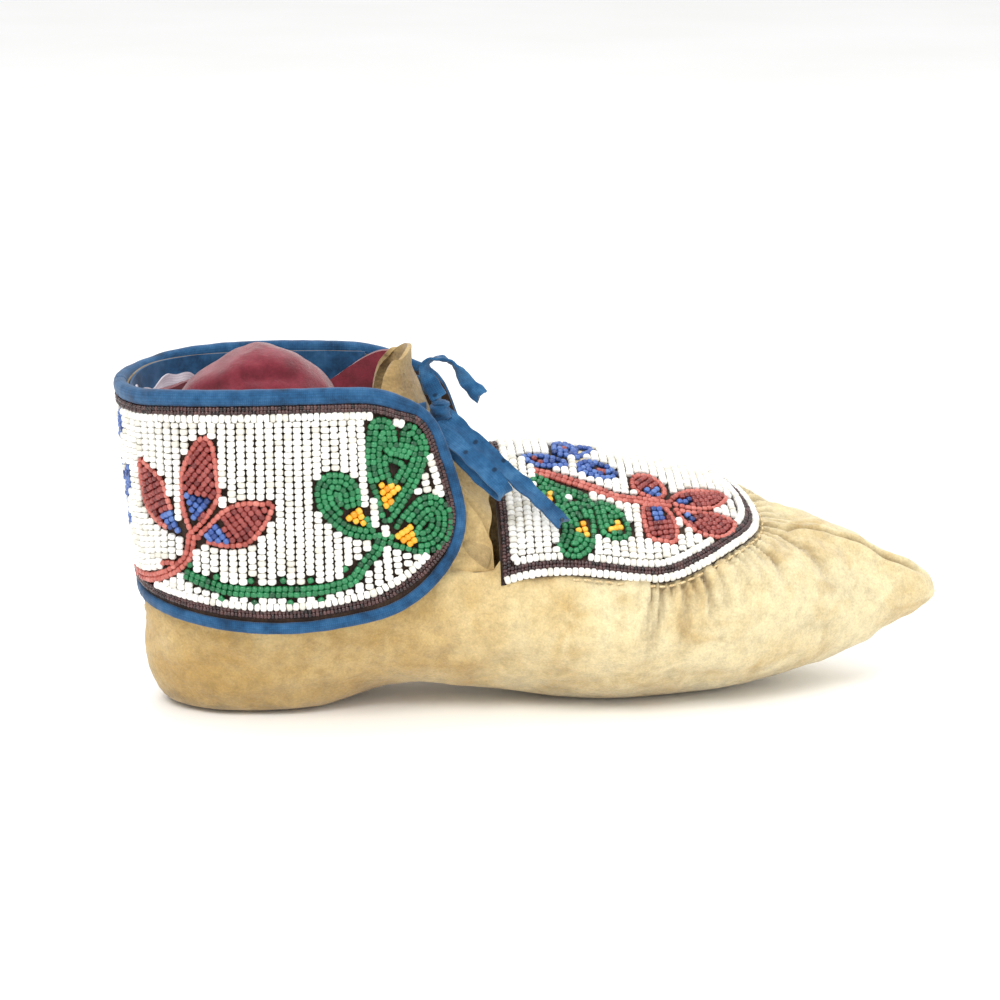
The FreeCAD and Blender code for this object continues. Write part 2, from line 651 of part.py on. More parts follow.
# The heel seam runs up the back of the heel from just above the ground.
HEEL_SEAM_LOW = 12.0
HEEL_SEAM_HIGH = 49.0
heel_back = FOOT_SECTIONS[0][0]
half_seam = size("seam_width") / 2.0
heel_seam_corners = [Vector(-half_seam, HEEL_SEAM_LOW, 0), Vector(half_seam, HEEL_SEAM_LOW, 0),
                     Vector(half_seam, HEEL_SEAM_HIGH, 0), Vector(-half_seam, HEEL_SEAM_HIGH, 0)]
heel_seam_edges = [Part.LineSegment(heel_seam_corners[i], heel_seam_corners[(i + 1) % 4]) for i in range(4)]
upright = Rotation(Vector(0, 1, 0), Vector(0, 0, 1), Vector(1, 0, 0), "ZXY")
heel_seam_frame = Placement(Vector(heel_back - size("seam_depth") / 2.0, 0, 0), upright)
padded_body("heel_seam", heel_seam_edges, "seam_depth", heel_seam_frame)

doc.recompute()
pieces = [item for item in doc.Objects if item.TypeId in ("Part::Feature", "PartDesign::Body")]
for item in doc.Objects:
    if "Invalid" in item.State or "Error" in item.State:
        raise RuntimeError("%s is %s" % (item.Label, item.State))
for piece in pieces:
    if piece.Shape.isNull() or not piece.Shape.isValid():
        raise RuntimeError("%s has no valid shape" % piece.Label)

os.makedirs("parts", exist_ok=True)
for piece in pieces:
    piece.Shape.exportStep("parts/%s.step" % piece.Label)
    bounds = piece.Shape.BoundBox
    print("%-28s %2d solids %9.1f mm3  x %6.1f..%6.1f  y %6.1f..%6.1f  z %5.1f..%5.1f"
          % (piece.Label, len(piece.Shape.Solids), piece.Shape.Volume, bounds.XMin, bounds.XMax, bounds.YMin,
             bounds.YMax, bounds.ZMin, bounds.ZMax))
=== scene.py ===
import math

import bpy
import numpy as np
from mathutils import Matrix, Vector, noise
from mathutils.bvhtree import BVHTree


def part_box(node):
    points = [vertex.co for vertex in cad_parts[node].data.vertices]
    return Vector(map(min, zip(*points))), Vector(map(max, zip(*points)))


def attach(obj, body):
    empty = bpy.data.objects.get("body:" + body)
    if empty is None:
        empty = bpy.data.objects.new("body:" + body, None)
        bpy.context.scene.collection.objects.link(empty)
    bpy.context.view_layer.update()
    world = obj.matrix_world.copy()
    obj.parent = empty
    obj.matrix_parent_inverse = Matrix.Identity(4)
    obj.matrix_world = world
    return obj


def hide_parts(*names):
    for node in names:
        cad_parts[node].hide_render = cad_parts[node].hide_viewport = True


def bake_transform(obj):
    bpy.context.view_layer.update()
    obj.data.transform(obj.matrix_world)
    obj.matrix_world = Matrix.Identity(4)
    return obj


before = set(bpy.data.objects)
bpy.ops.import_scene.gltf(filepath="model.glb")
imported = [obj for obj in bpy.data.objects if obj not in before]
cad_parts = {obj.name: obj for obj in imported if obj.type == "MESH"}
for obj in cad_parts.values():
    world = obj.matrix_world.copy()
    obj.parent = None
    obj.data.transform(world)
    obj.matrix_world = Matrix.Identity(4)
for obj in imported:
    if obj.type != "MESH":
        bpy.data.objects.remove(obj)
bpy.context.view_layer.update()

# Lengths in this file are in millimetres, and MM turns them to metres as a mesh is written.
# +X points to the toe, -Y to the lateral side. SEED makes every scattered size the same on each run.
MM = 0.001
SEED = 7
LATERAL = -1.0
MEDIAL = 1.0


# ---------------------------------------------------------------------------------------------------------
# Reading the frame
def node_box(name):
    low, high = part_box(name)
    return np.array(low) / MM, np.array(high) / MM


def surface_tree(*names):
    """The faces of CAD nodes, in millimetres, for rays to land on."""
    points = []
    faces = []
    for name in names:
        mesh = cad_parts[name].data
        first = len(points)
        points.extend(vertex.co / MM for vertex in mesh.vertices)
        faces.extend([first + index for index in face.vertices] for face in mesh.polygons)
    return BVHTree.FromPolygons(points, faces)


def land(tree, start, towards, reach):
    """Where a ray from start first meets the surface, or None."""
    place, normal, index, run = tree.ray_cast(Vector(start), Vector(towards).normalized(), reach)
    if place is None:
        return None
    return np.array(place)


# ---------------------------------------------------------------------------------------------------------
# Lines and outlines on a flat pattern, as arrays of (u, v) in millimetres
def resample(line, spacing, closed=False):
    """Points at an even spacing along a line."""
    line = np.asarray(line, float)
    if len(line) < 3:
        return line
    if closed:
        line = np.vstack([line, line[:1]])
    run = np.concatenate([[0.0], np.cumsum(np.linalg.norm(np.diff(line, axis=0), axis=1))])
    count = max(2, int(round(run[-1] / spacing)))
    stations = np.linspace(0, run[-1], count + 1)
    if closed:
        stations = stations[:-1]
    return np.stack([np.interp(stations, run, line[:, axis]) for axis in range(line.shape[1])], 1)


def smooth_line(points, spacing, closed=False):
    """A smooth line through a few points."""
    points = np.asarray(points, float)
    if closed:
        padded = np.vstack([points[-1:], points, points[:2]])
    else:
        padded = np.vstack([2 * points[0] - points[1], points, 2 * points[-1] - points[-2]])
    share = np.linspace(0, 1, 12, endpoint=False)[:, None]
    runs = []
    for index in range(1, len(padded) - 2):
        before, start, end, after = padded[index - 1:index + 3]
        runs.append(0.5 * (2 * start + (end - before) * share
                           + (2 * before - 5 * start + 4 * end - after) * share ** 2
                           + (3 * start - before - 3 * end + after) * share ** 3))
    if not closed:
        runs.append(points[-1:])
    return resample(np.vstack(runs), spacing, closed)


def headings(line, closed=False):
    """The direction of a line at each of its points."""
    if closed:
        ahead = np.roll(line, -1, 0) - np.roll(line, 1, 0)
    else:
        ahead = np.gradient(line, axis=0)
    return ahead / np.maximum(np.linalg.norm(ahead, axis=1, keepdims=True), 1e-9)


def beside(line, distance, spacing, closed=False):
    """The line moved to its left by a distance, with the knots at tight corners taken out."""
    ahead = headings(line, closed)
    moved = line + np.stack([-ahead[:, 1], ahead[:, 0]], 1) * np.reshape(distance, (-1, 1))
    gap = np.linalg.norm(moved[:, None] - line[None], axis=2).min(1)
    moved = moved[gap > 0.97 * np.abs(np.broadcast_to(distance, gap.shape))]
    return resample(moved, spacing, closed)


def depth_in(points, outline):
    """How far inside a closed outline each point lies. It is negative outside."""
    start = outline
    side = np.roll(outline, -1, 0) - start
    from_start = points[:, None] - start[None]
    share = (from_start * side).sum(-1) / np.maximum((side * side).sum(-1), 1e-12)
    gap = np.linalg.norm(from_start - np.clip(share, 0, 1)[..., None] * side, axis=2).min(1)
    low = start[:, 1][None] > points[:, 1:2]
    high = np.roll(start[:, 1], -1)[None] > points[:, 1:2]
    rise = np.where(np.abs(side[:, 1]) < 1e-9, 1e-9, side[:, 1])
    crossing = start[:, 0] + (points[:, 1:2] - start[:, 1]) * side[:, 0] / rise
    inside = ((low != high) & (points[:, :1] < crossing)).sum(1) % 2 == 1
    return np.where(inside, gap, -gap)


def fill_rows(outline, pitch, bead, turn, room):
    """Rows of beads, pitch apart, in an outline. turn is the rows' angle and room says where a bead
    has space."""
    along = np.array((math.cos(turn), math.sin(turn)))
    across = np.array((-along[1], along[0]))
    reach = outline @ along
    width = outline @ across
    beads = []
    first = math.floor(width.min() / pitch)
    last = math.ceil(width.max() / pitch)
    for row in range(first, last + 1):
        steps = np.arange(reach.min() - 1, reach.max() + 1, 0.15)
        points = steps[:, None] * along + (row + 0.5) * pitch * across
        free = np.concatenate([[False], room(points), [False]])
        change = np.flatnonzero(free[1:] != free[:-1])
        for start, end in zip(change[::2], change[1::2]):
            length = (end - start) * 0.15
            count = int(round(length / bead))
            if count == 0 and length > 0.55 * bead:
                count = 1
            for index in range(count):
                middle = steps[start] + length * (index + 0.5) / count
                beads.append(middle * along + (row + 0.5) * pitch * across)
    places = np.array(beads).reshape(-1, 2)
    return places, np.broadcast_to(along, places.shape).copy()


class Surface:
    """A patch of the moccasin as a grid of points over a flat pattern, u one way and v the other."""

    def __init__(self, u_range, v_range, points, outward):
        self.low = np.array((u_range[0], v_range[0]))
        self.span = np.array((u_range[1] - u_range[0], v_range[1] - v_range[0]))
        self.points = points
        self.outward = outward

    def at(self, places):
        counts = np.array(self.points.shape[:2]) - 1
        spot = np.clip((places - self.low) / self.span, 0, 0.999999) * counts
        cell = spot.astype(int)
        part = spot - cell
        i, j = cell[:, 0], cell[:, 1]
        a, b = part[:, :1], part[:, 1:]
        low = self.points[i, j] * (1 - a) + self.points[i + 1, j] * a
        high = self.points[i, j + 1] * (1 - a) + self.points[i + 1, j + 1] * a
        return low * (1 - b) + high * b

    def frames(self, places, ahead):
        """For each place: its point, the direction of travel, the way out, and the way to the side."""
        one_way = self.at(places + (0.8, 0)) - self.at(places - (0.8, 0))
        other_way = self.at(places + (0, 0.8)) - self.at(places - (0, 0.8))
        out = np.cross(one_way, other_way) * self.outward
        out /= np.maximum(np.linalg.norm(out, axis=1, keepdims=True), 1e-9)
        travel = self.at(places + ahead * 0.8) - self.at(places - ahead * 0.8)
        travel -= (travel * out).sum(1, keepdims=True) * out
        travel /= np.maximum(np.linalg.norm(travel, axis=1, keepdims=True), 1e-9)
        return self.at(places), travel, out, np.cross(travel, out)


# ---------------------------------------------------------------------------------------------------------
# Making meshes
def deselect():
    if bpy.context.object is not None and bpy.context.object.mode != "OBJECT":
        bpy.ops.object.mode_set(mode="OBJECT")
    bpy.ops.object.select_all(action="DESELECT")


def pick(piece):
    deselect()
    piece.select_set(True)
    bpy.context.view_layer.objects.active = piece


def points_of(piece):
    flat = np.zeros(len(piece.data.vertices) * 3)
    piece.data.vertices.foreach_get("co", flat)
    return flat.reshape(-1, 3)


def put_points(piece, points):
    piece.data.vertices.foreach_set("co", np.asarray(points, float).ravel())
    piece.data.update()


def apply_modifiers(piece):
    pick(piece)
    for modifier in list(piece.modifiers):
        bpy.ops.object.modifier_apply(modifier=modifier.name)


def shaped_grid(name, columns, rows, place, pattern_size=None):
    """A grid whose vertices are moved to place(u, v), both from 0 to 1. pattern_size is its flat size,
    for a weave."""
    deselect()
    bpy.ops.mesh.primitive_grid_add(x_subdivisions=columns, y_subdivisions=rows, size=1)
    piece = bpy.context.active_object
    piece.name = name
    flat = points_of(piece)
    put_points(piece, place(flat[:, 0] + 0.5, flat[:, 1] + 0.5) * MM)
    if pattern_size is not None:
        layer = piece.data.uv_layers.active.data
        values = np.zeros(len(layer) * 2)
        layer.foreach_get("uv", values)
        values = values.reshape(-1, 2) * np.array(pattern_size) * MM
        layer.foreach_set("uv", values.ravel())
    return piece


def close_seams(piece):
    """Joins the grid's edges where they meet, and turns every face outwards."""
    pick(piece)
    bpy.ops.object.mode_set(mode="EDIT")
    bpy.ops.mesh.select_all(action="SELECT")
    bpy.ops.mesh.remove_doubles(threshold=0.00002)
    bpy.ops.mesh.normals_make_consistent(inside=False)
    bpy.ops.object.mode_set(mode="OBJECT")
    return piece


def thicken(piece, thickness, offset=-1.0):
    """Gives a sheet its thickness, inwards unless offset says otherwise."""
    modifier = piece.modifiers.new("wall", "SOLIDIFY")
    modifier.thickness = thickness * MM
    modifier.offset = offset
    modifier.use_even_offset = False
    apply_modifiers(piece)
    return piece


def swept(name, path, side, out, half_width, half_height, ring=14, ends=1.5, squareness=1.0):
    """A strip or cord with an oval section, run along a path. Its ends close over the last few points."""
    count = len(path)
    half_width = np.broadcast_to(half_width, count)
    half_height = np.broadcast_to(half_height, count)
    run = np.concatenate([[0.0], np.cumsum(np.linalg.norm(np.diff(path, axis=0), axis=1))])
    nearest_end = np.minimum(run, run[-1] - run)
    closing = np.sqrt(np.clip(1 - (1 - np.clip(nearest_end / max(ends, 1e-6), 0, 1)) ** 2, 0, 1))

    def place(u, v):
        index = np.rint(u * (count - 1)).astype(int)
        turn = v * 2 * math.pi
        wide = np.sign(np.cos(turn)) * np.abs(np.cos(turn)) ** squareness
        tall = np.sign(np.sin(turn)) * np.abs(np.sin(turn)) ** squareness
        return (path[index] + side[index] * (wide * half_width[index] * closing[index])[:, None]
                + out[index] * (tall * half_height[index] * closing[index])[:, None])

    piece = shaped_grid(name, count - 1, ring, place, (run[-1], 2.2 * float(half_width.max()) * 2))
    return close_seams(piece)


def wobble(points, scale, strength, shift=0.0):
    """Soft unevenness: one number per point, from a noise whose features are about scale mm across."""
    return np.array([noise.noise(Vector(p) / scale + Vector((shift, shift, shift)))
                     for p in points]) * strength


def store(piece, name, values):
    attribute = piece.data.attributes.new(name, "FLOAT", "POINT")
    attribute.data.foreach_set("value", np.asarray(values, np.float32))


def dress(piece, material, slot, smooth=60):
    piece.data.materials.clear()
    piece.data.materials.append(material)
    pick(piece)
    if smooth:
        bpy.ops.object.shade_smooth_by_angle(angle=math.radians(smooth))
    return piece


def bead_shape():
    """One glass bead, a unit across and long, with its hole along Z: a sphere drawn in to a dimple at
    both ends."""
    deselect()
    bpy.ops.mesh.primitive_uv_sphere_add(segments=9, ring_count=6, radius=1)
    bead = bpy.context.active_object
    points = points_of(bead)
    height = np.round(points[:, 2], 3)
    spread = np.hypot(points[:, 0], points[:, 1])
    rings = {0.866: (0.62, 1.0), 0.5: (0.95, 0.62), 0.0: (1.0, 0.0)}
    for level, (radius, rise) in rings.items():
        ring = np.isclose(np.abs(height), level, atol=0.01)
        points[ring, :2] *= (radius / spread[ring])[:, None]
        points[ring, 2] = np.sign(height[ring]) * rise
    pole = np.isclose(np.abs(height), 1.0, atol=0.01)
    points[pole, 2] = np.sign(height[pole]) * 0.72
    faces = [list(face.vertices) for face in bead.data.polygons]
    bpy.data.objects.remove(bead)
    return points, faces


BEAD_POINTS, BEAD_FACES = bead_shape()
# How unlike the beads are: shares of their own size, then radians, then millimetres.
THICKNESS_SCATTER, LENGTH_SCATTER = 0.035, 0.045
TILT_SCATTER, LEAN_SCATTER = 0.09, 0.07
HEIGHT_SCATTER, SIDE_SCATTER = 0.07, 0.05
bead_luck = np.random.default_rng(SEED)


def sew_beads(name, surface, rows, diameter, length, rise, material, slot, flatness=0.86):
    """Copies the bead to every place. rows is a list of (places, directions); each bead differs a little."""
    places = np.vstack([row[0] for row in rows])
    ahead = np.vstack([row[1] for row in rows])
    middle, travel, out, side = surface.frames(places, ahead)
    # A place past the end of the pattern has no direction, and gets no bead.
    sound = np.linalg.norm(np.cross(travel, out), axis=1) > 0.1
    middle, travel, out, side = middle[sound], travel[sound], out[sound], side[sound]
    count = len(middle)
    thick = diameter * (1 + bead_luck.normal(0, THICKNESS_SCATTER, count))[:, None, None]
    long = length * (1 + bead_luck.normal(0, LENGTH_SCATTER, count))[:, None, None]
    tilt = bead_luck.normal(0, TILT_SCATTER, count)[:, None]
    lean = bead_luck.normal(0, LEAN_SCATTER, count)[:, None]
    travel = travel + side * tilt + out * lean
    travel /= np.linalg.norm(travel, axis=1, keepdims=True)
    side = np.cross(travel, out)
    side /= np.linalg.norm(side, axis=1, keepdims=True)
    up = np.cross(side, travel)
    middle = middle + out * (rise + bead_luck.normal(0, HEIGHT_SCATTER, count)[:, None])
    middle = middle + side * bead_luck.normal(0, SIDE_SCATTER, count)[:, None]
    shape = BEAD_POINTS
    across = side[:, None] * shape[None, :, :1] * thick / 2
    through = up[:, None] * shape[None, :, 1:2] * thick * flatness / 2
    onwards = travel[:, None] * shape[None, :, 2:] * long / 2
    points = middle[:, None] + across + through + onwards
    size = len(shape)
    faces = [[index * size + corner for corner in face] for index in range(count) for face in BEAD_FACES]
    mesh = bpy.data.meshes.new(name)
    mesh.from_pydata((points.reshape(-1, 3) * MM).tolist(), [], faces)
    piece = bpy.data.objects.new(name, mesh)
    bpy.context.scene.collection.objects.link(piece)
    store(piece, "tone", np.repeat(bead_luck.random(count), size))
    pick(piece)
    bpy.ops.object.mode_set(mode="EDIT")
    bpy.ops.mesh.select_all(action="SELECT")
    bpy.ops.mesh.normals_make_consistent(inside=False)
    bpy.ops.object.mode_set(mode="OBJECT")
    return dress(piece, material, slot, smooth=75)


# ---------------------------------------------------------------------------------------------------------
# Materials
def colour(text):
    """An sRGB hex colour as the linear one that a shader takes."""
    channels = [int(text[index:index + 2], 16) / 255 for index in (1, 3, 5)]
    linear = [c / 12.92 if c <= 0.04045 else ((c + 0.055) / 1.055) ** 2.4 for c in channels]
    return (*linear, 1.0)


def add_node(tree, kind, inputs=None, stops=None, **settings):
    """Adds a node with its settings. inputs holds values or the sockets that feed it, stops the
    colours of a ramp."""
    node = tree.nodes.new(kind)
    for key, value in settings.items():
        setattr(node, key, value)
    for key, value in (inputs or {}).items():
        if isinstance(value, bpy.types.NodeSocket):
            tree.links.new(value, node.inputs[key])
        else:
            node.inputs[key].default_value = value
    if stops is not None:
        ramp = node.color_ramp
        while len(ramp.elements) < len(stops):
            ramp.elements.new(0.5)
        for element, (position, text) in zip(ramp.elements, stops):
            element.position = position
            element.color = colour(text)
    return node


def new_material(name, **constants):
    """A material with one Principled shader, whose constant inputs are set on its own sockets."""
    material = bpy.data.materials.new(name)
    material.use_nodes = True
    tree = material.node_tree
    shader = tree.nodes["Principled BSDF"]
    for key, value in constants.items():
        shader.inputs[key.replace("_", " ")].default_value = value
    return material, tree, shader


def per_mm(size):
    """The scale of a texture on coordinates in metres whose features are size mm across."""
    return 1000.0 / size


def hide_material(name, pale, middle, ochre, dirt, heel_from, heel_to, dirt_height):
    """Brain-tanned and smoked deer hide, napped: a dull chalky face, ochre where it was smoked or
    worn, grey dirt low down, pores and a short nap that catches the light."""
    material, tree, shader = new_material(name, Roughness=0.93, Sheen_Weight=0.25, Sheen_Roughness=0.6,
                                          Specular_IOR_Level=0.25)
    where = add_node(tree, "ShaderNodeTexCoord").outputs["Object"]
    axes = add_node(tree, "ShaderNodeSeparateXYZ", {0: where})
    blotch = add_node(tree, "ShaderNodeTexNoise", {"Vector": where, "Scale": per_mm(26), "Detail": 6.0,
                                                   "Roughness": 0.62})
    heel = add_node(tree, "ShaderNodeMapRange", {"Value": axes.outputs["X"], "From Min": heel_to * MM,
                                                 "From Max": heel_from * MM, "To Min": -0.22, "To Max": 0.26})
    mixed = add_node(tree, "ShaderNodeMath", {0: blotch.outputs["Fac"], 1: heel.outputs["Result"]},
                     operation="ADD")
    base = add_node(tree, "ShaderNodeValToRGB", {"Fac": mixed.outputs[0]},
                    stops=[(0.25, pale), (0.5, middle), (0.85, ochre)])
    # Grey-brown dirt gathers on the ground side and in patches.
    height = add_node(tree, "ShaderNodeMapRange", {"Value": axes.outputs["Z"], "From Min": 0.0,
                                                   "From Max": dirt_height * MM, "To Min": 0.62,
                                                   "To Max": 0.0})
    smear = add_node(tree, "ShaderNodeTexNoise", {"Vector": where, "Scale": per_mm(9), "Detail": 8.0,
                                                  "Roughness": 0.7})
    patch = add_node(tree, "ShaderNodeMapRange", {"Value": smear.outputs["Fac"], "From Min": 0.38,
                                                  "From Max": 0.66,
                                                  "To Min": 0.1, "To Max": 1.0})
    amount = add_node(tree, "ShaderNodeMath", {0: height.outputs["Result"], 1: patch.outputs["Result"]},
                      operation="MULTIPLY")
    soiled = add_node(tree, "ShaderNodeMix", {0: amount.outputs[0], 6: base.outputs["Color"],
                                              7: colour(dirt)},
                      data_type="RGBA")
    # Ochre stains, a few centimetres across, with soft edges.
    stain = add_node(tree, "ShaderNodeTexNoise", {"Vector": where, "Scale": per_mm(15), "Detail": 3.0,
                                                  "Distortion": 0.8})
    stain_share = add_node(tree, "ShaderNodeMapRange", {"Value": stain.outputs["Fac"], "From Min": 0.5,
                                                        "From Max": 0.7, "To Min": 0.0, "To Max": 0.6})
    stained = add_node(tree, "ShaderNodeMix", {0: stain_share.outputs["Result"], 6: soiled.outputs[2],
                                               7: colour(ochre)}, data_type="RGBA")
    # Painted shade: creases, pleat troughs and other places that lie in shadow are darkened through a point
    # attribute.
    painted_shade = add_node(tree, "ShaderNodeAttribute", attribute_name="painted_shade")
    shade_darkened = add_node(tree, "ShaderNodeMix", {0: painted_shade.outputs["Fac"], 6: stained.outputs[2],
                                               7: colour("#6b553a")}, data_type="RGBA")
    # The nap: fibres of a third of a millimetre, drawn a little coarse so that they show, and open pores.
    nap = add_node(tree, "ShaderNodeTexNoise", {"Vector": where, "Scale": per_mm(0.7), "Detail": 4.0,
                                                "Roughness": 0.75})
    pores = add_node(tree, "ShaderNodeTexVoronoi", {"Vector": where, "Scale": per_mm(1.3)})
    grain = add_node(tree, "ShaderNodeMath", {0: nap.outputs["Fac"], 1: pores.outputs["Distance"]},
                     operation="ADD")
    speck = add_node(tree, "ShaderNodeMapRange", {"Value": nap.outputs["Fac"], "From Min": 0.3,
                                                  "From Max": 0.7,
                                                  "To Min": 0.8, "To Max": 1.1})
    grained = add_node(tree, "ShaderNodeMix", {0: 1.0, 6: shade_darkened.outputs[2], 7: speck.outputs["Result"]},
                       data_type="RGBA", blend_type="MULTIPLY")
    # Handling has left it mottled, in patches of a few millimetres.
    mottle = add_node(tree, "ShaderNodeTexNoise", {"Vector": where, "Scale": per_mm(4), "Detail": 7.0,
                                                   "Roughness": 0.75})
    mottle_tone = add_node(tree, "ShaderNodeMapRange", {"Value": mottle.outputs["Fac"], "From Min": 0.32,
                                                        "From Max": 0.56, "To Min": 0.78, "To Max": 1.04})
    mottled = add_node(tree, "ShaderNodeMix", {0: 1.0, 6: grained.outputs[2],
                                               7: mottle_tone.outputs["Result"]},
                       data_type="RGBA", blend_type="MULTIPLY")
    bump = add_node(tree, "ShaderNodeBump", {"Height": grain.outputs[0], "Strength": 0.6,
                                             "Distance": 0.3 * MM})
    wrinkle = add_node(tree, "ShaderNodeTexNoise", {"Vector": where, "Scale": per_mm(6), "Detail": 5.0})
    soft = add_node(tree, "ShaderNodeBump", {"Height": wrinkle.outputs["Fac"], "Strength": 0.75,
                                             "Distance": 1.8 * MM, "Normal": bump.outputs["Normal"]})
    tree.links.new(mottled.outputs[2], shader.inputs["Base Color"])
    tree.links.new(soft.outputs["Normal"], shader.inputs["Normal"])
    return material


def glass_material(name, dark, main, light, roughness=0.28):
    """Opaque drawn glass, tumbled round in the fire: a soft highlight on each bead and slightly unlike
    colours."""
    material, tree, shader = new_material(name, Roughness=roughness, IOR=1.52, Specular_IOR_Level=0.5)
    tone = add_node(tree, "ShaderNodeAttribute", attribute_name="tone")
    where = add_node(tree, "ShaderNodeTexCoord").outputs["Object"]
    film = add_node(tree, "ShaderNodeTexNoise", {"Vector": where, "Scale": per_mm(7), "Detail": 3.0})
    shade = add_node(tree, "ShaderNodeMath", {0: tone.outputs["Fac"], 1: film.outputs["Fac"]},
                     operation="MULTIPLY")
    base = add_node(tree, "ShaderNodeValToRGB", {"Fac": shade.outputs[0]},
                    stops=[(0.02, dark), (0.12, main), (0.6, light)])
    tree.links.new(base.outputs["Color"], shader.inputs["Base Color"])
    return material


def cotton_material(name, dark, main, worn, thread, dots=False):
    """Plain-woven cotton, indigo dyed and rubbed pale in patches. The weave is thread mm wide, and
    follows the strip by its UV map. Printed dots are small, dark and scattered."""
    material, tree, shader = new_material(name, Roughness=0.85, Sheen_Weight=0.2, Specular_IOR_Level=0.2)
    flat = add_node(tree, "ShaderNodeTexCoord").outputs["UV"]
    where = add_node(tree, "ShaderNodeTexCoord").outputs["Object"]
    fade = add_node(tree, "ShaderNodeTexNoise", {"Vector": where, "Scale": per_mm(8), "Detail": 6.0,
                                                 "Roughness": 0.7})
    base = add_node(tree, "ShaderNodeValToRGB", {"Fac": fade.outputs["Fac"]},
                    stops=[(0.3, dark), (0.5, main), (0.78, worn)])
    # Warp and weft are two sets of ridges at right angles; a wave of scale 1 repeats about every 0.314
    # of a unit.
    wave_scale = 0.314 * 1000.0 / (2 * thread)
    warp = add_node(tree, "ShaderNodeTexWave", {"Vector": flat, "Scale": wave_scale}, bands_direction="X")
    weft = add_node(tree, "ShaderNodeTexWave", {"Vector": flat, "Scale": wave_scale}, bands_direction="Y")
    weave = add_node(tree, "ShaderNodeMath", {0: warp.outputs["Fac"], 1: weft.outputs["Fac"]},
                     operation="MULTIPLY")
    lift = add_node(tree, "ShaderNodeMapRange", {"Value": weave.outputs[0], "To Min": 0.78, "To Max": 1.12})
    woven = add_node(tree, "ShaderNodeMix", {0: 1.0, 6: base.outputs["Color"], 7: lift.outputs["Result"]},
                     data_type="RGBA", blend_type="MULTIPLY")
    result = woven.outputs[2]
    if dots:
        spots = add_node(tree, "ShaderNodeTexVoronoi", {"Vector": flat, "Scale": per_mm(4.6),
                                                        "Randomness": 0.8})
        round_spot = add_node(tree, "ShaderNodeMapRange",
                              {"Value": spots.outputs["Distance"], "From Min": 0.12,
                               "From Max": 0.2, "To Min": 0.85, "To Max": 0.0})
        result = add_node(tree, "ShaderNodeMix", {0: round_spot.outputs["Result"], 6: result,
                                                  7: colour("#0b2238")}, data_type="RGBA").outputs[2]
    bump = add_node(tree, "ShaderNodeBump", {"Height": weave.outputs[0], "Strength": 0.5,
                                             "Distance": 0.12 * MM})
    tree.links.new(result, shader.inputs["Base Color"])
    tree.links.new(bump.outputs["Normal"], shader.inputs["Normal"])
    return material


def wool_material():
    """Felted trade wool, madder red: no thread to be seen, a fuzzy halo, and paler lint and fulling marks."""
    material, tree, shader = new_material("fulled_red_wool", Roughness=1.0, Sheen_Weight=0.55,
                                          Sheen_Roughness=0.5,
                                          Specular_IOR_Level=0.1)
    where = add_node(tree, "ShaderNodeTexCoord").outputs["Object"]
    cloudy = add_node(tree, "ShaderNodeTexNoise", {"Vector": where, "Scale": per_mm(9), "Detail": 6.0,
                                                   "Roughness": 0.6})
    base = add_node(tree, "ShaderNodeValToRGB", {"Fac": cloudy.outputs["Fac"]},
                    stops=[(0.28, "#611e29"), (0.5, "#7a2a36"), (0.75, "#8f3b47")])
    fuzz = add_node(tree, "ShaderNodeTexNoise", {"Vector": where, "Scale": per_mm(0.9), "Detail": 5.0,
                                                 "Roughness": 0.8})
    speckle = add_node(tree, "ShaderNodeMapRange", {"Value": fuzz.outputs["Fac"], "From Min": 0.3,
                                                    "From Max": 0.7,
                                                    "To Min": 0.8, "To Max": 1.2})
    result = add_node(tree, "ShaderNodeMix", {0: 1.0, 6: base.outputs["Color"], 7: speckle.outputs["Result"]},
                      data_type="RGBA", blend_type="MULTIPLY")
    bump = add_node(tree, "ShaderNodeBump", {"Height": fuzz.outputs["Fac"], "Strength": 0.6,
                                             "Distance": 0.5 * MM})
    tree.links.new(result.outputs[2], shader.inputs["Base Color"])
    tree.links.new(bump.outputs["Normal"], shader.inputs["Normal"])
    return material


def thread_material(name, dark, light):
    """Twisted thread: fine slanting ridges of two shades."""
    material, tree, shader = new_material(name, Roughness=0.8, Specular_IOR_Level=0.25)
    where = add_node(tree, "ShaderNodeTexCoord").outputs["Object"]
    twist = add_node(tree, "ShaderNodeTexNoise", {"Vector": where, "Scale": per_mm(0.5), "Detail": 4.0})
    base = add_node(tree, "ShaderNodeValToRGB", {"Fac": twist.outputs["Fac"]},
                    stops=[(0.35, dark), (0.65, light)])
    bump = add_node(tree, "ShaderNodeBump", {"Height": twist.outputs["Fac"], "Strength": 0.5,
                                             "Distance": 0.1 * MM})
    tree.links.new(base.outputs["Color"], shader.inputs["Base Color"])
    tree.links.new(bump.outputs["Normal"], shader.inputs["Normal"])
    return material


smoked_hide = hide_material("smoked_deer_hide", "#e0d0a5", "#d2ba86", "#b59354", "#4a4030", -60, 20, 17)
tongue_hide = hide_material("napped_tongue_hide", "#ddcb9c", "#c6ab75", "#8f7142", "#4a3a27", -60, 20, 40)
white_glass = glass_material("white_glass", "#dbd7cb", "#f1efe8", "#fbfaf6")
dark_glass = glass_material("dark_plum_glass", "#1a1012", "#352222", "#5a3c3a", 0.14)
coral_glass = glass_material("coral_glass", "#98443a", "#b4594e", "#cc7a6d")
red_glass = glass_material("brick_red_glass", "#682322", "#853430", "#a04e48")
green_glass = glass_material("green_glass", "#0b4a2a", "#17693c", "#2f8a56")
orange_glass = glass_material("orange_glass", "#e08a0c", "#f5a81c", "#fcc24a")
blue_glass = glass_material("blue_glass", "#1f3870", "#34539a", "#5f7fbd")
blue_cotton = cotton_material("indigo_cotton", "#0c2c48", "#21527c", "#40729d", 0.3)
lace_cotton = cotton_material("dotted_indigo_cotton", "#123a5e", "#235884", "#4a80ab", 0.3, dots=True)
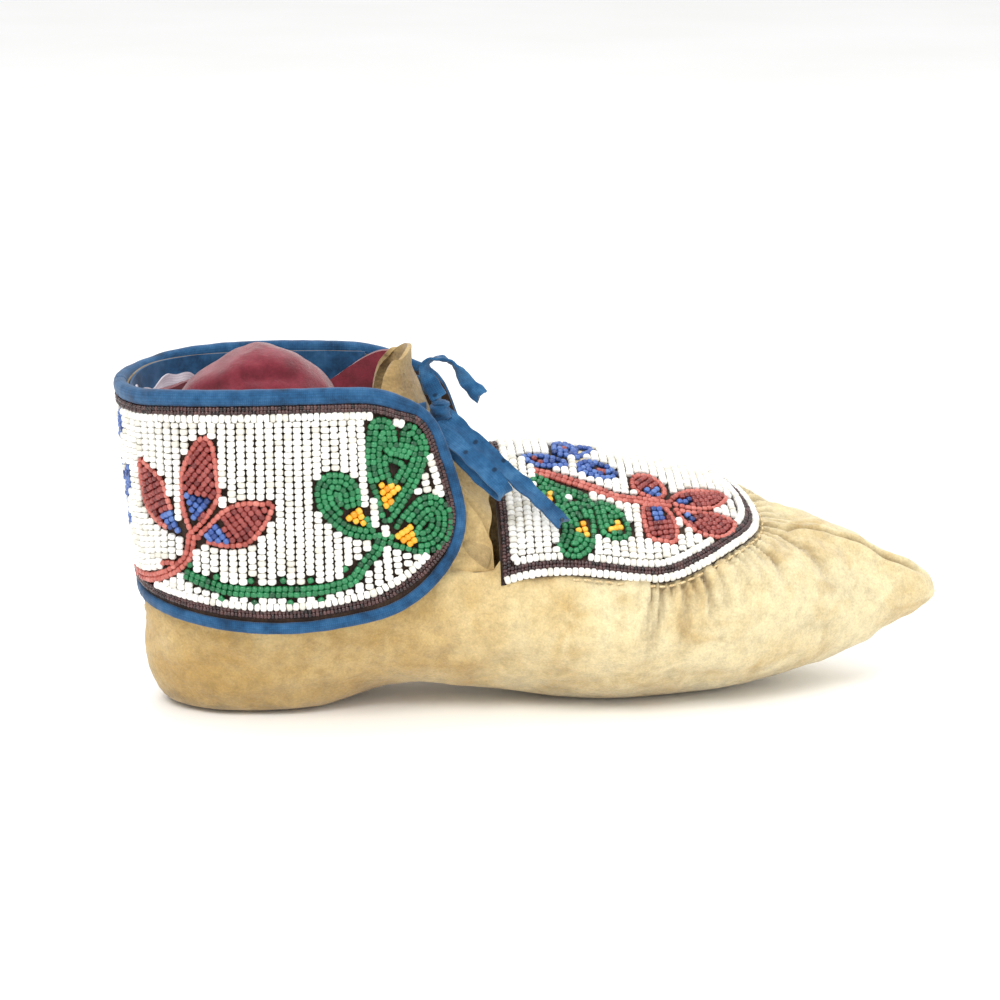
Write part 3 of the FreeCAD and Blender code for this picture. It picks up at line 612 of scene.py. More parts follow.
# The backing is dark brown partly in its own colour and partly as painted shade for the gaps between the rows
# of beads.
backing_and_gap_shade_cotton = cotton_material("brown_backing_with_gap_shade", "#231a17", "#3a2b24", "#5a4636", 0.5)
muslin_cotton = cotton_material("unbleached_muslin", "#b3abb8", "#d8d2de", "#efecf2", 0.5)
red_wool = wool_material()
pale_sinew = thread_material("pale_sinew", "#b89b6c", "#e6d3a8")

# ---------------------------------------------------------------------------------------------------------
# Camera, light and floor
CAMERA_PLACE = (-96.8, -895.9, 300)
CAMERA_TARGET = (-10.56, 0, 64)
CAMERA_LENS = 103
CAMERA_SENSOR = 36
FLOOR_SIZE = 12.0
FLOOR_GAP = 0.0002
KEY_POWER, FILL_POWER, TOP_POWER = 12.5, 3.5, 5.5
WORLD_STRENGTH = 0.93
LIT_PLACE = (0, 0, 0.03)

camera_data = bpy.data.cameras.new("camera")
camera_data.lens = CAMERA_LENS
camera_data.sensor_width = CAMERA_SENSOR
camera = bpy.data.objects.new("camera", camera_data)
bpy.context.scene.collection.objects.link(camera)
camera.location = Vector(CAMERA_PLACE) * MM
camera_target = Vector(CAMERA_TARGET) * MM
camera.rotation_euler = (camera_target - camera.location).to_track_quat("-Z", "Y").to_euler()
bpy.context.scene.camera = camera

floor_material, floor_tree, floor_shader = new_material("white_sweep_paper", Roughness=0.7,
                                                        Specular_IOR_Level=0.2)
floor_grain = add_node(floor_tree, "ShaderNodeTexNoise", {"Scale": 40.0, "Detail": 3.0})
floor_base = add_node(floor_tree, "ShaderNodeValToRGB", {"Fac": floor_grain.outputs["Fac"]},
                      stops=[(0.3, "#fbfbfa"), (0.7, "#ffffff")])
floor_tree.links.new(floor_base.outputs["Color"], floor_shader.inputs["Base Color"])
deselect()
bpy.ops.mesh.primitive_plane_add(size=FLOOR_SIZE, location=(0, 0, -FLOOR_GAP))
floor = bpy.context.active_object
floor.name = "floor"
floor.data.materials.append(floor_material)


def soft_light(name, place, target, size, power, tint):
    data = bpy.data.lights.new(name, "AREA")
    data.shape = "DISK"
    data.size = size
    data.energy = power
    data.color = tint
    lamp = bpy.data.objects.new(name, data)
    bpy.context.scene.collection.objects.link(lamp)
    lamp.location = place
    lamp.rotation_euler = (Vector(target) - Vector(place)).to_track_quat("-Z", "Y").to_euler()
    return lamp


# Plain colour management, so that the pale floor and the dyes keep their own values.
bpy.context.scene.view_settings.view_transform = "Standard"
soft_light("key_light", (-0.5, -0.9, 1.25), LIT_PLACE, 0.7, KEY_POWER, (1.0, 0.985, 0.96))
soft_light("fill_light", (0.9, -0.7, 0.7), LIT_PLACE, 0.9, FILL_POWER, (0.97, 0.985, 1.0))
soft_light("top_light", (0.0, 0.5, 1.4), LIT_PLACE, 1.0, TOP_POWER, (1.0, 1.0, 1.0))
world = bpy.data.worlds.new("studio")
bpy.context.scene.world = world
world.use_nodes = True
world.node_tree.nodes["Background"].inputs["Color"].default_value = (1.0, 1.0, 1.0, 1.0)
world.node_tree.nodes["Background"].inputs["Strength"].default_value = WORLD_STRENGTH

# ---------------------------------------------------------------------------------------------------------
# The lace. Each ribbon repeats its route's points, in the ribbon's own frame: along it, and out from
# its face.
# The CAD is drawn about its own origin and then centred. The heel seam shows how far that moved it along X.
DRAWN_HEEL_SEAM = -119.3
SHIFT_X = node_box("heel_seam")[0][0] - DRAWN_HEEL_SEAM
RIBBON_FACE = np.array((0.15, -0.85, 0.5))
RIBBON_HALF_WIDTH = 2.9
RIBBON_HALF_THICKNESS = 0.5
RIBBON_STEP = 0.6


def ribbon_frame(start, end, face):
    along = (end - start) / np.linalg.norm(end - start)
    across = np.cross(along, face)
    across /= np.linalg.norm(across)
    return along, np.cross(across, along), across


def lace_ribbon(name, start, end, face, route, rolls=(0.0, 0.0), notch=2.0,
                half_width=RIBBON_HALF_WIDTH):
    """A folded cotton ribbon along its route's smooth line, with a cut end that has frayed a little."""
    start = np.array(start) + (SHIFT_X, 0, 0)
    end = np.array(end) + (SHIFT_X, 0, 0)
    along, outwards, across = ribbon_frame(start, end, face)
    controls = [start + along * u + outwards * w for u, w in route]
    curve = bpy.data.curves.new(name + "_line", "CURVE")
    curve.dimensions = "3D"
    spline = curve.splines.new("NURBS")
    spline.points.add(len(controls) - 1)
    for point, place in zip(spline.points, controls):
        point.co = (*(place * MM), 1.0)
    spline.order_u = 3
    spline.use_endpoint_u = True
    spline.resolution_u = 16
    holder = bpy.data.objects.new(name + "_line", curve)
    bpy.context.scene.collection.objects.link(holder)
    line_mesh = bpy.data.meshes.new_from_object(holder)
    line = np.array([vertex.co for vertex in line_mesh.vertices]) / MM
    bpy.data.objects.remove(holder)
    bpy.data.meshes.remove(line_mesh)
    path = resample(line, RIBBON_STEP)
    ahead = headings(path)
    count = len(path)
    share = np.linspace(0, 1, count)
    # The ribbon rolls a little as it goes.
    out = np.cross(across, ahead)
    out /= np.linalg.norm(out, axis=1, keepdims=True)
    roll = np.radians(np.interp(share, np.linspace(0, 1, len(rolls)), rolls))
    side = across * np.cos(roll)[:, None] + out * np.sin(roll)[:, None]
    out = np.cross(side, ahead)
    half = half_width * (1 + 0.07 * np.sin(share * 21) + 0.05 * np.sin(share * 47 + 1))
    columns = count - 1
    ring = 22

    def place(u, v):
        index = np.rint(u * columns).astype(int)
        turn = v * 2 * math.pi
        wide = np.cos(turn)
        tall = np.sign(np.sin(turn)) * np.abs(np.sin(turn)) ** 0.45
        # The two folded edges are thicker than the middle, and the faces ripple.
        edge = 1 + 0.55 * np.abs(wide) ** 6
        ripple = 0.16 * np.sin(share[index] * 33 + wide * 2.0) + 0.1 * np.sin(share[index] * 71 - wide * 3.0)
        cup = 0.45 * (wide ** 2 - 0.4)
        ragged = np.where(index == columns, notch * (np.abs(wide) - 0.5) * (1 + 0.5 * np.sin(wide * 31)), 0.0)
        height = RIBBON_HALF_THICKNESS * tall * edge + ripple + cup
        return (path[index] + side[index] * (wide * half[index])[:, None] + out[index] * height[:, None]
                + ahead[index] * ragged[:, None])

    ribbon = shaped_grid(name + "_ribbon", columns, ring, place, (columns * RIBBON_STEP, 13.0))
    close_seams(ribbon)
    pick(ribbon)
    bpy.ops.object.mode_set(mode="EDIT")
    bpy.ops.mesh.select_all(action="DESELECT")
    bpy.ops.mesh.select_non_manifold()
    bpy.ops.mesh.edge_face_add()
    bpy.ops.mesh.select_all(action="SELECT")
    bpy.ops.mesh.normals_make_consistent(inside=False)
    bpy.ops.object.mode_set(mode="OBJECT")
    dress(ribbon, lace_cotton, "blue_cotton", smooth=55)
    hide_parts(name)
    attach(ribbon, "moccasin")


lace_ribbon("lace_lower_tail", (-26.5, -15.4, 97.6), (10.5, -35, 65), RIBBON_FACE,
                         [(0, 0), (14, 1.6), (27, 0.4), (40, 1.8), (52.5, 0)], rolls=(6, 20))
lace_ribbon("lace_lower_loop", (-29.3, -20.7, 93.1), (-7.3, -37.7, 74.6), RIBBON_FACE,
                         [(0, 1.2), (10, 4.6), (22, 5.0), (32, 3.6), (32.5, -0.8), (22, -1.0), (11, -0.6),
                          (1.5, -0.2)], notch=0.0)
lace_ribbon("lace_upper_tail", (-26.94, -16.8, 102.3), (-13.94, -19.5, 103.2), np.array((0, 0, 1.0)),
                         [(0, 0), (-2.6, 5), (-4.2, 10.5), (-1, 13), (4.2, 12), (7.2, 8), (9.2, 4),
                          (13.3, 0)],
                         rolls=(80, 80, 20, 0, 30, 80, 85), notch=1.3, half_width=2.6)

# ---------------------------------------------------------------------------------------------------------
# The vamp's pattern: u is X, and v is the way over the instep from its crest, so beads keep their size there.
vamp_low, vamp_high = node_box("vamp_edge_beads")
vamp_length = vamp_high[0] - vamp_low[0]
vamp_half = (vamp_high[1] - vamp_low[1]) / 2
foot_tree = surface_tree("hide_body", "vamp_backing", "ankle_collar")
upper_tree = surface_tree("hide_body", "vamp_backing")


def instep_surface():
    stations = np.linspace(vamp_low[0] - 4, vamp_high[0] + 8, 67)
    half_round = 58.0
    marks = np.linspace(-half_round, half_round, 78)
    points = []
    tables = []
    for x in stations:
        hits = []
        for y in np.linspace(-46, 46, 93):
            spot = land(upper_tree, (max(x, vamp_low[0] + 0.3), y, 160), (0, 0, -1), 150)
            if spot is not None and spot[2] > 22:
                hits.append((x, y, spot[2]))
        hits = np.array(hits)
        run = np.concatenate([[0.0], np.cumsum(np.hypot(np.diff(hits[:, 1]), np.diff(hits[:, 2])))])
        run = run - np.interp(0.0, hits[:, 1], run)
        tables.append((hits[:, 1], run))
        points.append(np.stack([np.full(len(marks), x), np.interp(marks, run, hits[:, 1]),
                                np.interp(marks, run, hits[:, 2])], 1))
    surface = Surface((stations[0], stations[-1]), (-half_round, half_round), np.array(points), 1.0)
    return surface, stations, tables


instep, instep_stations, instep_tables = instep_surface()


def from_plan(points):
    """Points drawn in plan, put on the instep's pattern."""
    points = np.asarray(points, float)
    placed = []
    for x, y in points:
        nearest = int(np.argmin(np.abs(instep_stations - x)))
        across, run = instep_tables[nearest]
        placed.append((x, np.interp(y, across, run)))
    return np.array(placed)


# The vamp's outline, as shares of its length and half width, from the back corner round to the tip.
VAMP_HALF_OUTLINE = [(0.0, 1.0), (0.25, 1.0), (0.47, 1.005), (0.60, 0.99), (0.70, 0.935), (0.80, 0.83),
                     (0.89, 0.65), (0.955, 0.42), (0.985, 0.2)]
lateral_edge = [(vamp_low[0] + a * vamp_length, -b * vamp_half) for a, b in VAMP_HALF_OUTLINE]
vamp_tip = [(vamp_low[0] + 0.992 * vamp_length, 0.0)]
medial_edge = [(x, -y) for x, y in reversed(lateral_edge)]
vamp_edge_plan = smooth_line(lateral_edge + vamp_tip + medial_edge, 1.0)
vamp_edge = resample(from_plan(vamp_edge_plan), 1.0)
VAMP_BACK_ALLOWANCE = 1.8
vamp_outline = np.vstack([[(vamp_low[0] - VAMP_BACK_ALLOWANCE, vamp_edge[0][1])], vamp_edge,
                          [(vamp_low[0] - VAMP_BACK_ALLOWANCE, vamp_edge[-1][1])]])
vamp_outline = resample(vamp_outline, 1.0, closed=True)

# ---------------------------------------------------------------------------------------------------------
# The hide: one bag round the foot, gathered in pleats to the vamp.
hide_low, hide_high = node_box("hide_body")
HEEL_TURN = hide_low[0] + 26
TOE_TURN = hide_high[0] - 34
DETAIL_FROM = 18.0
GATHERS = np.random.default_rng(SEED + 1)


def hide_stations():
    """Where each ring of the bag is seen from, and which way: fanned at the heel and toe, square between."""
    rings = []
    for turn in np.linspace(0, math.pi / 2, 26)[:-1]:
        rings.append((HEEL_TURN, turn))
    for x in np.linspace(HEEL_TURN, DETAIL_FROM, 62)[:-1]:
        rings.append((x, math.pi / 2))
    for x in np.linspace(DETAIL_FROM, TOE_TURN, 116)[:-1]:
        rings.append((x, math.pi / 2))
    for turn in np.linspace(math.pi / 2, math.pi, 42):
        rings.append((TOE_TURN, turn))
    return rings


def hide_form():
    rings = hide_stations()
    columns = 168
    share = np.linspace(-1, 1, columns + 1)
    around = math.pi * (share - 0.15 * np.sin(math.pi * share))
    form = np.full((len(rings), columns + 1, 3), np.nan)
    for row, (x, turn) in enumerate(rings):
        middle = np.array((x, 0.0, 28.0 + 3.0 * (x - HEEL_TURN) / (TOE_TURN - HEEL_TURN)))
        for column, angle in enumerate(around):
            way = np.array((-math.cos(turn), math.sin(turn) * math.sin(angle),
                            math.sin(turn) * math.cos(angle)))
            spot = land(foot_tree, middle + way * 200, -way, 199)
            if spot is not None:
                form[row, column] = spot
        known = ~np.isnan(form[row, :, 0])
        for axis in range(3):
            form[row, ~known, axis] = np.interp(around[~known], around[known], form[row, known, axis])
    return form


PLEAT_SPACING = 3.7
PLEAT_DEPTH = 1.9


def gathers(points):
    """How far each point of the hide moves out for the pleats round the vamp, and how much painted shade it
    gets in the pleats' creases and along the vamp's edge."""
    edge = instep.at(vamp_edge)
    run = np.concatenate([[0.0], np.cumsum(np.linalg.norm(np.diff(edge, axis=0), axis=1))])
    keep = (points[:, 0] > -8) & (points[:, 2] > 14)
    shift = np.zeros(len(points))
    painted_shade = np.zeros(len(points))
    near = points[keep]
    gap = np.linalg.norm(near[:, None] - edge[None], axis=2)
    nearest = gap.argmin(1)
    distance = gap.min(1)
    place = run[nearest]
    tip = run[-1] / 2
    outside = depth_in(near[:, :2], np.vstack([vamp_edge_plan, [(-20, vamp_half), (-20, -vamp_half)]])) < 0.3
    side = np.sign(place - tip)
    # The pleats lean forward as they run out from the edge.
    lean = place - side * distance * 0.16 + wobble(near, 16, 1.5)
    pleated = np.clip((edge[nearest][:, 0] - 22) / 18, 0, 1)
    depth = np.zeros(len(near))
    station = 0.0
    while station < run[-1]:
        station += PLEAT_SPACING + GATHERS.normal(0, 0.7)
        reach = 9 + 26 * GATHERS.random() ** 1.6
        strength = 0.8 + 1.1 * GATHERS.random()
        width = 0.75 + 0.035 * distance
        fade = np.clip(1 - distance / reach, 0, 1) ** 0.8
        depth += strength * fade * np.exp(-((lean - station) / width) ** 2)
    puff = 1.9 * np.exp(-((distance - 6.0) / 5.5) ** 2) + 0.5 * np.exp(-((distance - 16) / 7.0) ** 2)
    sunk = -0.35
    shift[keep] = np.where(outside, pleated * (puff * (0.8 + 0.4 * wobble(near, 9, 1.0, 3))
                                             - PLEAT_DEPTH * depth)
                           - 0.25 * np.exp(-distance / 1.2), sunk)
    # Painted shade in the pleats' creases, and a thin line of painted shade along the vamp's edge.
    painted_shade[keep] = np.where(outside, np.clip(depth * 0.5 * pleated, 0, 0.8), 0)
    edge_shade = np.where(outside, 0.5 * np.exp(-distance / 1.0), 0)
    painted_shade[keep] = np.maximum(painted_shade[keep], edge_shade)
    return shift, painted_shade


def fold_line(points, start, end, width):
    """Nearness, 1 to 0, to a straight fold between two points."""
    start = np.array(start, float)
    end = np.array(end, float)
    along = (end - start) / np.linalg.norm(end - start)
    run = (points - start) @ along
    foot = start + np.clip(run, 0, np.linalg.norm(end - start))[:, None] * along
    gap = np.linalg.norm(points - foot, axis=1)
    return np.exp(-(gap / width) ** 2)


TREAD_HEIGHT = 17


def tread_heel(points):
    """Treads the sole flat under the heel, rounds the heel's foot and leans its back a little."""
    heel = np.clip((-48 - points[:, 0]) / 22, 0, 1)
    low = np.clip(points[:, 2] / TREAD_HEIGHT, 0, 1)
    trodden = points[:, 2] * (1 - heel) + heel * TREAD_HEIGHT * low ** 2.3
    points[:, 2] = np.where(points[:, 2] < TREAD_HEIGHT, trodden, points[:, 2])
    back = np.clip((-104 - points[:, 0]) / 18, 0, 1)
    points[:, 0] += back * (4.6 * np.clip(1 - points[:, 2] / 16, 0, 1) ** 1.3 - 2.4)


# Each is a soft fold's start and end, its width and its depth.
SOFT_FOLDS = [
    ((20, -38, 12), (70, -30, 10), 2.2, 0.8),
    ((-40, -30, 12), (-10, -34, 20), 2.4, 0.7),
    ((60, -33, 30), (96, -22, 24), 2.4, 0.7),
    ((78, -22, 42), (112, -12, 33), 2.0, 0.7),
    ((-112, -18, 16), (-100, -26, 24), 2.0, 0.5),
    ((-60, -32, 14), (-30, -32, 24), 2.5, 0.6),
]


def wear(points, shift, painted_shade):
    """Adds slack hollows along the side, small wrinkles, and a fold up from the heel's under side."""
    off_ground = np.clip(points[:, 2] / 10, 0, 1)
    shift += off_ground * (wobble(points, 30, 1.6) + wobble(points, 11, 1.05, 5) + wobble(points, 5, 0.45, 9))
    fold = fold_line(points, (-100, -27, 4), (-66, -31, 11), 2.6)
    under = fold_line(points, (-97, -26, 9), (-70, -30, 15), 4.0)
    shift += 1.2 * under - 1.6 * fold
    # The folds get painted shade along their lines.
    painted_shade = np.maximum(painted_shade, 0.45 * fold)
    for start, end, width, depth in SOFT_FOLDS:
        nearness = fold_line(points, start, end, width)
        shift -= depth * nearness
        painted_shade = np.maximum(painted_shade, 0.2 * nearness)
    return shift, painted_shade


def toe_seam(points, shift, painted_shade):
    """Two rolled lips with a groove between them, from the vamp's tip to the toe."""
    seam_low, seam_high = node_box("toe_seam")
    run = np.clip((points[:, 0] - seam_low[0]) / (seam_high[0] - seam_low[0]), 0, 1)
    seam_y = (seam_low[1] + seam_high[1]) / 2 - 1.5 * (1 - run) + 2.5 * run
    on_top = (points[:, 2] > 26) & (points[:, 0] > seam_low[0] - 4)
    away = points[:, 1] - seam_y
    fade = np.clip((points[:, 0] - seam_low[0] + 4) / 12, 0, 1)
    fade = fade * np.clip((hide_high[0] - 2 - points[:, 0]) / 10, 0, 1)
    lips = 1.7 * np.exp(-((np.abs(away) - 1.6) / 1.7) ** 2) - 1.5 * np.exp(-(away / 0.8) ** 2)
    shift += np.where(on_top, lips * fade, 0)
    # Painted shade in the seam's groove.
    painted_shade = np.maximum(painted_shade, np.where(on_top, 0.6 * fade * np.exp(-(away / 0.7) ** 2), 0))
    return shift, painted_shade


def open_top(hide):
    """Takes away what lies over the opening, behind the vamp."""
    pick(hide)
    bpy.ops.object.mode_set(mode="EDIT")
    bpy.ops.mesh.select_all(action="DESELECT")
    bpy.ops.object.mode_set(mode="OBJECT")
    for vertex in hide.data.vertices:
        spot = vertex.co / MM
        vertex.select = bool(spot.z > (52 if spot.x > -32 else 56) and spot.x < vamp_low[0] - 0.5)
    bpy.ops.object.mode_set(mode="EDIT")
    bpy.ops.mesh.delete(type="VERT")
    bpy.ops.object.mode_set(mode="OBJECT")


def make_hide():
    form = hide_form()
    rows, columns = form.shape[:2]

    def place(u, v):
        return form[np.rint(v * (rows - 1)).astype(int), np.rint(u * (columns - 1)).astype(int)]

    hide = shaped_grid("gathered_hide", columns - 1, rows - 1, place)
    close_seams(hide)
    # The flat back of the heel and the pinched toe are eased round.
    pick(hide)
    smooth = hide.modifiers.new("ease", "SMOOTH")
    smooth.factor = 0.5
    smooth.iterations = 8
    group = hide.vertex_groups.new(name="eased")
    points = points_of(hide) / MM
    ease = np.clip((HEEL_TURN - 10 - points[:, 0]) / 6, 0, 1)
    ease = ease + np.clip((points[:, 0] - TOE_TURN - 4) / 12, 0, 0.6)
    for index in np.flatnonzero(ease > 0):
        group.add([int(index)], float(min(ease[index], 1)), "REPLACE")
    smooth.vertex_group = "eased"
    apply_modifiers(hide)
    points = points_of(hide) / MM
    normals = np.array([vertex.normal for vertex in hide.data.vertices])
    tread_heel(points)
    shift, painted_shade = gathers(points)
    shift, painted_shade = wear(points, shift, painted_shade)
    shift, painted_shade = toe_seam(points, shift, painted_shade)
    points = points + normals * shift[:, None]
    points[:, 2] = np.maximum(points[:, 2], 0.05)
    points[:, 0] = np.minimum(points[:, 0], hide_high[0])
    put_points(hide, points * MM)
    # The painted shade of the creases and the vamp's edge goes to the hide's shader.
    store(hide, "painted_shade", painted_shade)
    open_top(hide)
    thicken(hide, 1.2)
    dress(hide, smoked_hide, "smoked_hide", smooth=80)
    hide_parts("hide_body", "toe_seam")
    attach(hide, "moccasin")
    return hide


hide = make_hide()

# ---------------------------------------------------------------------------------------------------------
# The vamp: brown cotton, and beads sewn to it in rows that cross the foot.
WHITE_BEAD = (2.75, 1.9)
MOTIF_BEAD = (2.1, 1.85)
OUTLINE_BEAD = (1.9, 1.9)
BORDER_BEAD = (1.6, 1.15)
# From bead to bead along a thread, and from thread to thread.
WHITE_STEP = 1.95
OUTLINE_STEP = 1.9
NESTED_STEP = 1.85
STRAIGHT_STEP = 1.8
BORDER_STEP = 1.12
WHITE_PITCH = 2.72
CUFF_WHITE_PITCH = 2.92


def wound_left(outline):
    """The outline taken so that its inside is on the left."""
    turned = np.roll(outline, -1, 0)
    area = (outline[:, 0] * turned[:, 1] - turned[:, 0] * outline[:, 1]).sum()
    return outline if area > 0 else outline[::-1]


def row_along(line, spacing, closed=False):
    places = resample(line, spacing, closed)
    return places, headings(places, closed)


def closed_shape(points):
    return wound_left(smooth_line(points, 0.5, closed=True))


def fill_motif(outline, style, turn=0.0, avoid=()):
    """Rows of beads in a motif, inside its outline row: nested like its outline, or straight at an angle."""
    def room(points):
        free = depth_in(points, outline) > 1.75
        for other in avoid:
            free &= depth_in(points, other) < -0.15
        return free

    if style == "straight":
        return [fill_rows(outline, WHITE_STEP, STRAIGHT_STEP, turn, room)]
    rows = []
    inset = 2.75
    while inset < 12:
        inner = beside(outline, inset, 0.6, closed=True)
        if len(inner) < 5 or depth_in(inner, outline).max() < inset * 0.9:
            break
        places, ahead = row_along(inner, NESTED_STEP, closed=True)
        free = room(places)
        rows.append((places[free], ahead[free]))
        inset += WHITE_STEP
    return [row for row in rows if len(row[0])]


class Beadwork:
    """One panel's beads, gathered by colour until they are sewn down."""

    def __init__(self):
        self.rows = {}
        self.shapes = []

    def add(self, shade, rows):
        self.rows.setdefault(shade, []).extend(row for row in rows if len(row[0]))

    def motif(self, points, rim, inside, style="nested", turn=0.0, patches=()):
        """A filled shape with a row of beads round it. patches are (colour, points) set into its filling."""
        outline = closed_shape(points)
        self.shapes.append((outline, 0.4))
        edge = beside(outline, 0.85, 0.5, closed=True)
        inlaid = []
        for shade, corners in patches:
            patch = wound_left(resample(np.asarray(corners, float), 0.5, closed=True))
            inlaid.append(patch)

            def room(places, patch=patch):
                return (depth_in(places, patch) > 0.3) & (depth_in(places, outline) > 0.9)

            self.add(shade, [fill_rows(patch, WHITE_STEP, STRAIGHT_STEP, turn, room)])
        places, ahead = row_along(edge, OUTLINE_STEP, closed=True)
        free = np.ones(len(places), bool)
        for patch in inlaid:
            free &= depth_in(places, patch) < 0.2
        self.add(rim, [(places[free], ahead[free])])
        self.add(inside, fill_motif(outline, style, turn, inlaid))

    def stem(self, points, shade, rows=2, spacing=1.75):
        line = smooth_line(points, 0.5)
        for index in range(rows):
            track = line if rows == 1 else beside(line, (index - (rows - 1) / 2) * spacing, 0.5)
            self.add(shade, [row_along(track, NESTED_STEP)])
        ahead = headings(line)
        side = np.stack([-ahead[:, 1], ahead[:, 0]], 1) * (rows * spacing / 2)
        self.shapes.append((wound_left(np.vstack([line - side, (line + side)[::-1]])), 0.45))

    def spots(self, places, shade, turn=0.6):
        places = np.asarray(places, float)
        self.add(shade, [(places, np.broadcast_to((math.cos(turn), math.sin(turn)), places.shape).copy())])
        for place in places:
            ring = place + 1.0 * np.array([(math.cos(a), math.sin(a)) for a in np.linspace(0, 5.5, 8)])
            self.shapes.append((wound_left(ring), 0.6))

    def clear_of_shapes(self, row):
        """The beads of a row that no motif covers."""
        places, ahead = row
        free = np.ones(len(places), bool)
        for shape, _ in self.shapes:
            free &= depth_in(places, shape) < -0.3
        return places[free], ahead[free]

    def ground(self, outline, inset, pitch, bead, turn, limit=None):
        """White rows over what is left of the panel."""
        def room(points):
            free = depth_in(points, outline) > inset
            for shape, grow in self.shapes:
                box_low = shape.min(0) - 3
                box_high = shape.max(0) + 3
                close = ((points > box_low) & (points < box_high)).all(1)
                if close.any():
                    gaps = np.full(len(points), -9.0)
                    gaps[close] = depth_in(points[close], shape)
                    free &= gaps < -grow
            if limit is not None:
                free &= limit(points)
            return free

        self.add("white", [fill_rows(outline, pitch, bead, turn, room)])


vamp = Beadwork()
RED_PETALS = [
    ([(31.1, -4.8), (33.3, -2.3), (37.2, -1.1), (40.7, -3), (42.7, -6.8), (41.8, -10.5), (38.7, -12.9),
      (35.7, -12), (32.7, -11.1), (30.6, -8.5)],
     [(34.9, -8.5), (40.1, -6.6), (41, -11.5), (36.1, -11)], 0.9),
    ([(42.6, -11.6), (45.7, -7.8), (50, -4.6), (56.8, -1.4), (61.7, 0.8), (63.8, -1.4), (60, -9.3),
      (54.9, -13.1), (49.8, -14.2), (44.8, -13.6)],
     [(45.4, -10.9), (50.4, -8.2), (50.4, -12.4), (46, -12.4)], 1.9),
    ([(34.1, -14.6), (32.7, -17.8), (32.9, -23.2), (34.3, -26.8), (38.5, -27.6), (42.7, -27.9), (44.4, -25.2),
      (44.4, -21), (43.1, -16.7), (40.4, -14.1)],
     [(35.7, -15.6), (40, -14.6), (40.9, -19.1), (36.5, -20.6)], 0.3),
    ([(44.1, -14.6), (45.3, -18.7), (47.9, -22.1), (51.9, -24.5), (58.8, -24.2), (63.3, -19.4), (64.2, -14),
      (60.6, -13.4), (54.9, -13.6), (49, -14.8)],
     [(45.8, -15.4), (50.4, -16.1), (50.4, -20.5), (46.9, -18.7)], 2.2),
]
for points, base, turn in RED_PETALS:
    vamp.motif(from_plan(points), "coral", "red", "straight", turn, [("blue", from_plan(base))])
LEAVES = [
    ([(5.5, -21.3), (10.1, -18.3), (15.7, -18.1), (17.5, -23.7), (16.7, -30), (13.9, -32.7), (10.1, -33.9),
      (6, -33.2), (4.4, -31), (6.7, -26.6)],
     [(9.3, -27.2), (14.5, -22.8), (15.4, -28.7)]),
    ([(-1.2, -14.6), (3.1, -13.6), (7.4, -14.6), (9.2, -18.6), (6.2, -22.6), (1.0, -20)],
     [(0.8, -17.6), (4.4, -15.2), (5.4, -20.6)]),
    ([(17.8, -17.1), (23.2, -17.0), (27.1, -20.4), (29, -25), (27.4, -27.4), (23, -28.5), (19.2, -27.0),
      (18.0, -22.7)],
     [(20.8, -25.8), (25.1, -21.2), (26.8, -25.6)]),
]
for points, heart in LEAVES:
    vamp.motif(from_plan(points), "green", "green", "nested", 0.4, [("orange", from_plan(heart))])
vamp.stem(from_plan([(0.1, -8.3), (5.6, -9.4), (11.6, -10.8), (16.4, -11.8), (21.3, -13), (26.1, -14.1),
                     (33.2, -13.6), (42.4, -13.2)]), "coral")
vamp.stem(from_plan([(-0.6, -10.6), (2.9, -12.2), (6.4, -13.8), (11.2, -15.0), (14.7, -16.2), (16.2, -18.5)]),
          "green", rows=2)
BLUE_PETALS = [
    ([(-3.9, -1.7), (-1, -0.6), (4, -0.6), (8.9, -1.6), (11.2, -4.3), (9.1, -5.6), (2.8, -6.3), (-1.4, -5.2)],
     [(-0.8, -2.4), (3.0, -2.4), (2.6, -4.8), (-0.6, -4.4)]),
    ([(13.4, -3.4), (17.5, -0.2), (22.2, -0.4), (25.9, -2.4), (26.6, -5.8), (21.9, -8.0), (17, -7.4),
      (13.8, -6.0)],
     [(19.6, -2.2), (23.4, -2.8), (23.2, -5.4), (19.8, -5.0)]),
    ([(6.5, 1.2), (10.5, -0.2), (13.5, 1.8), (14.5, 7), (11.5, 11.5), (7.5, 9)],
     [(9, 4.5), (12, 4.5), (11, 7.5)]),
    ([(13.8, -1.0), (17.0, 2.0), (20.5, 6.5), (19.6, 10.8), (15.4, 9.0), (13.2, 4)],
     [(15.6, 5), (18, 5.4), (17.6, 8)]),
]
for points, heart in BLUE_PETALS:
    vamp.motif(from_plan(points), "blue", "blue", "nested", 0.2, [("red", from_plan(heart))])
vamp.add("white", [tuple(part[1:-1] for part in row_along(beside(vamp_edge, 1.2, 0.5), WHITE_STEP))])
for inset in (3.0, 4.2):
    vamp.add("dark", [row_along(beside(wound_left(vamp_outline), inset, 0.6, closed=True),
                                BORDER_STEP, closed=True)])
inner_row = row_along(beside(wound_left(vamp_outline), 6.0, 0.6, closed=True), WHITE_STEP, closed=True)
vamp.add("white", [vamp.clear_of_shapes(inner_row)])
vamp.ground(wound_left(vamp_outline), 7.3, WHITE_PITCH, WHITE_BEAD[1], math.pi / 2)


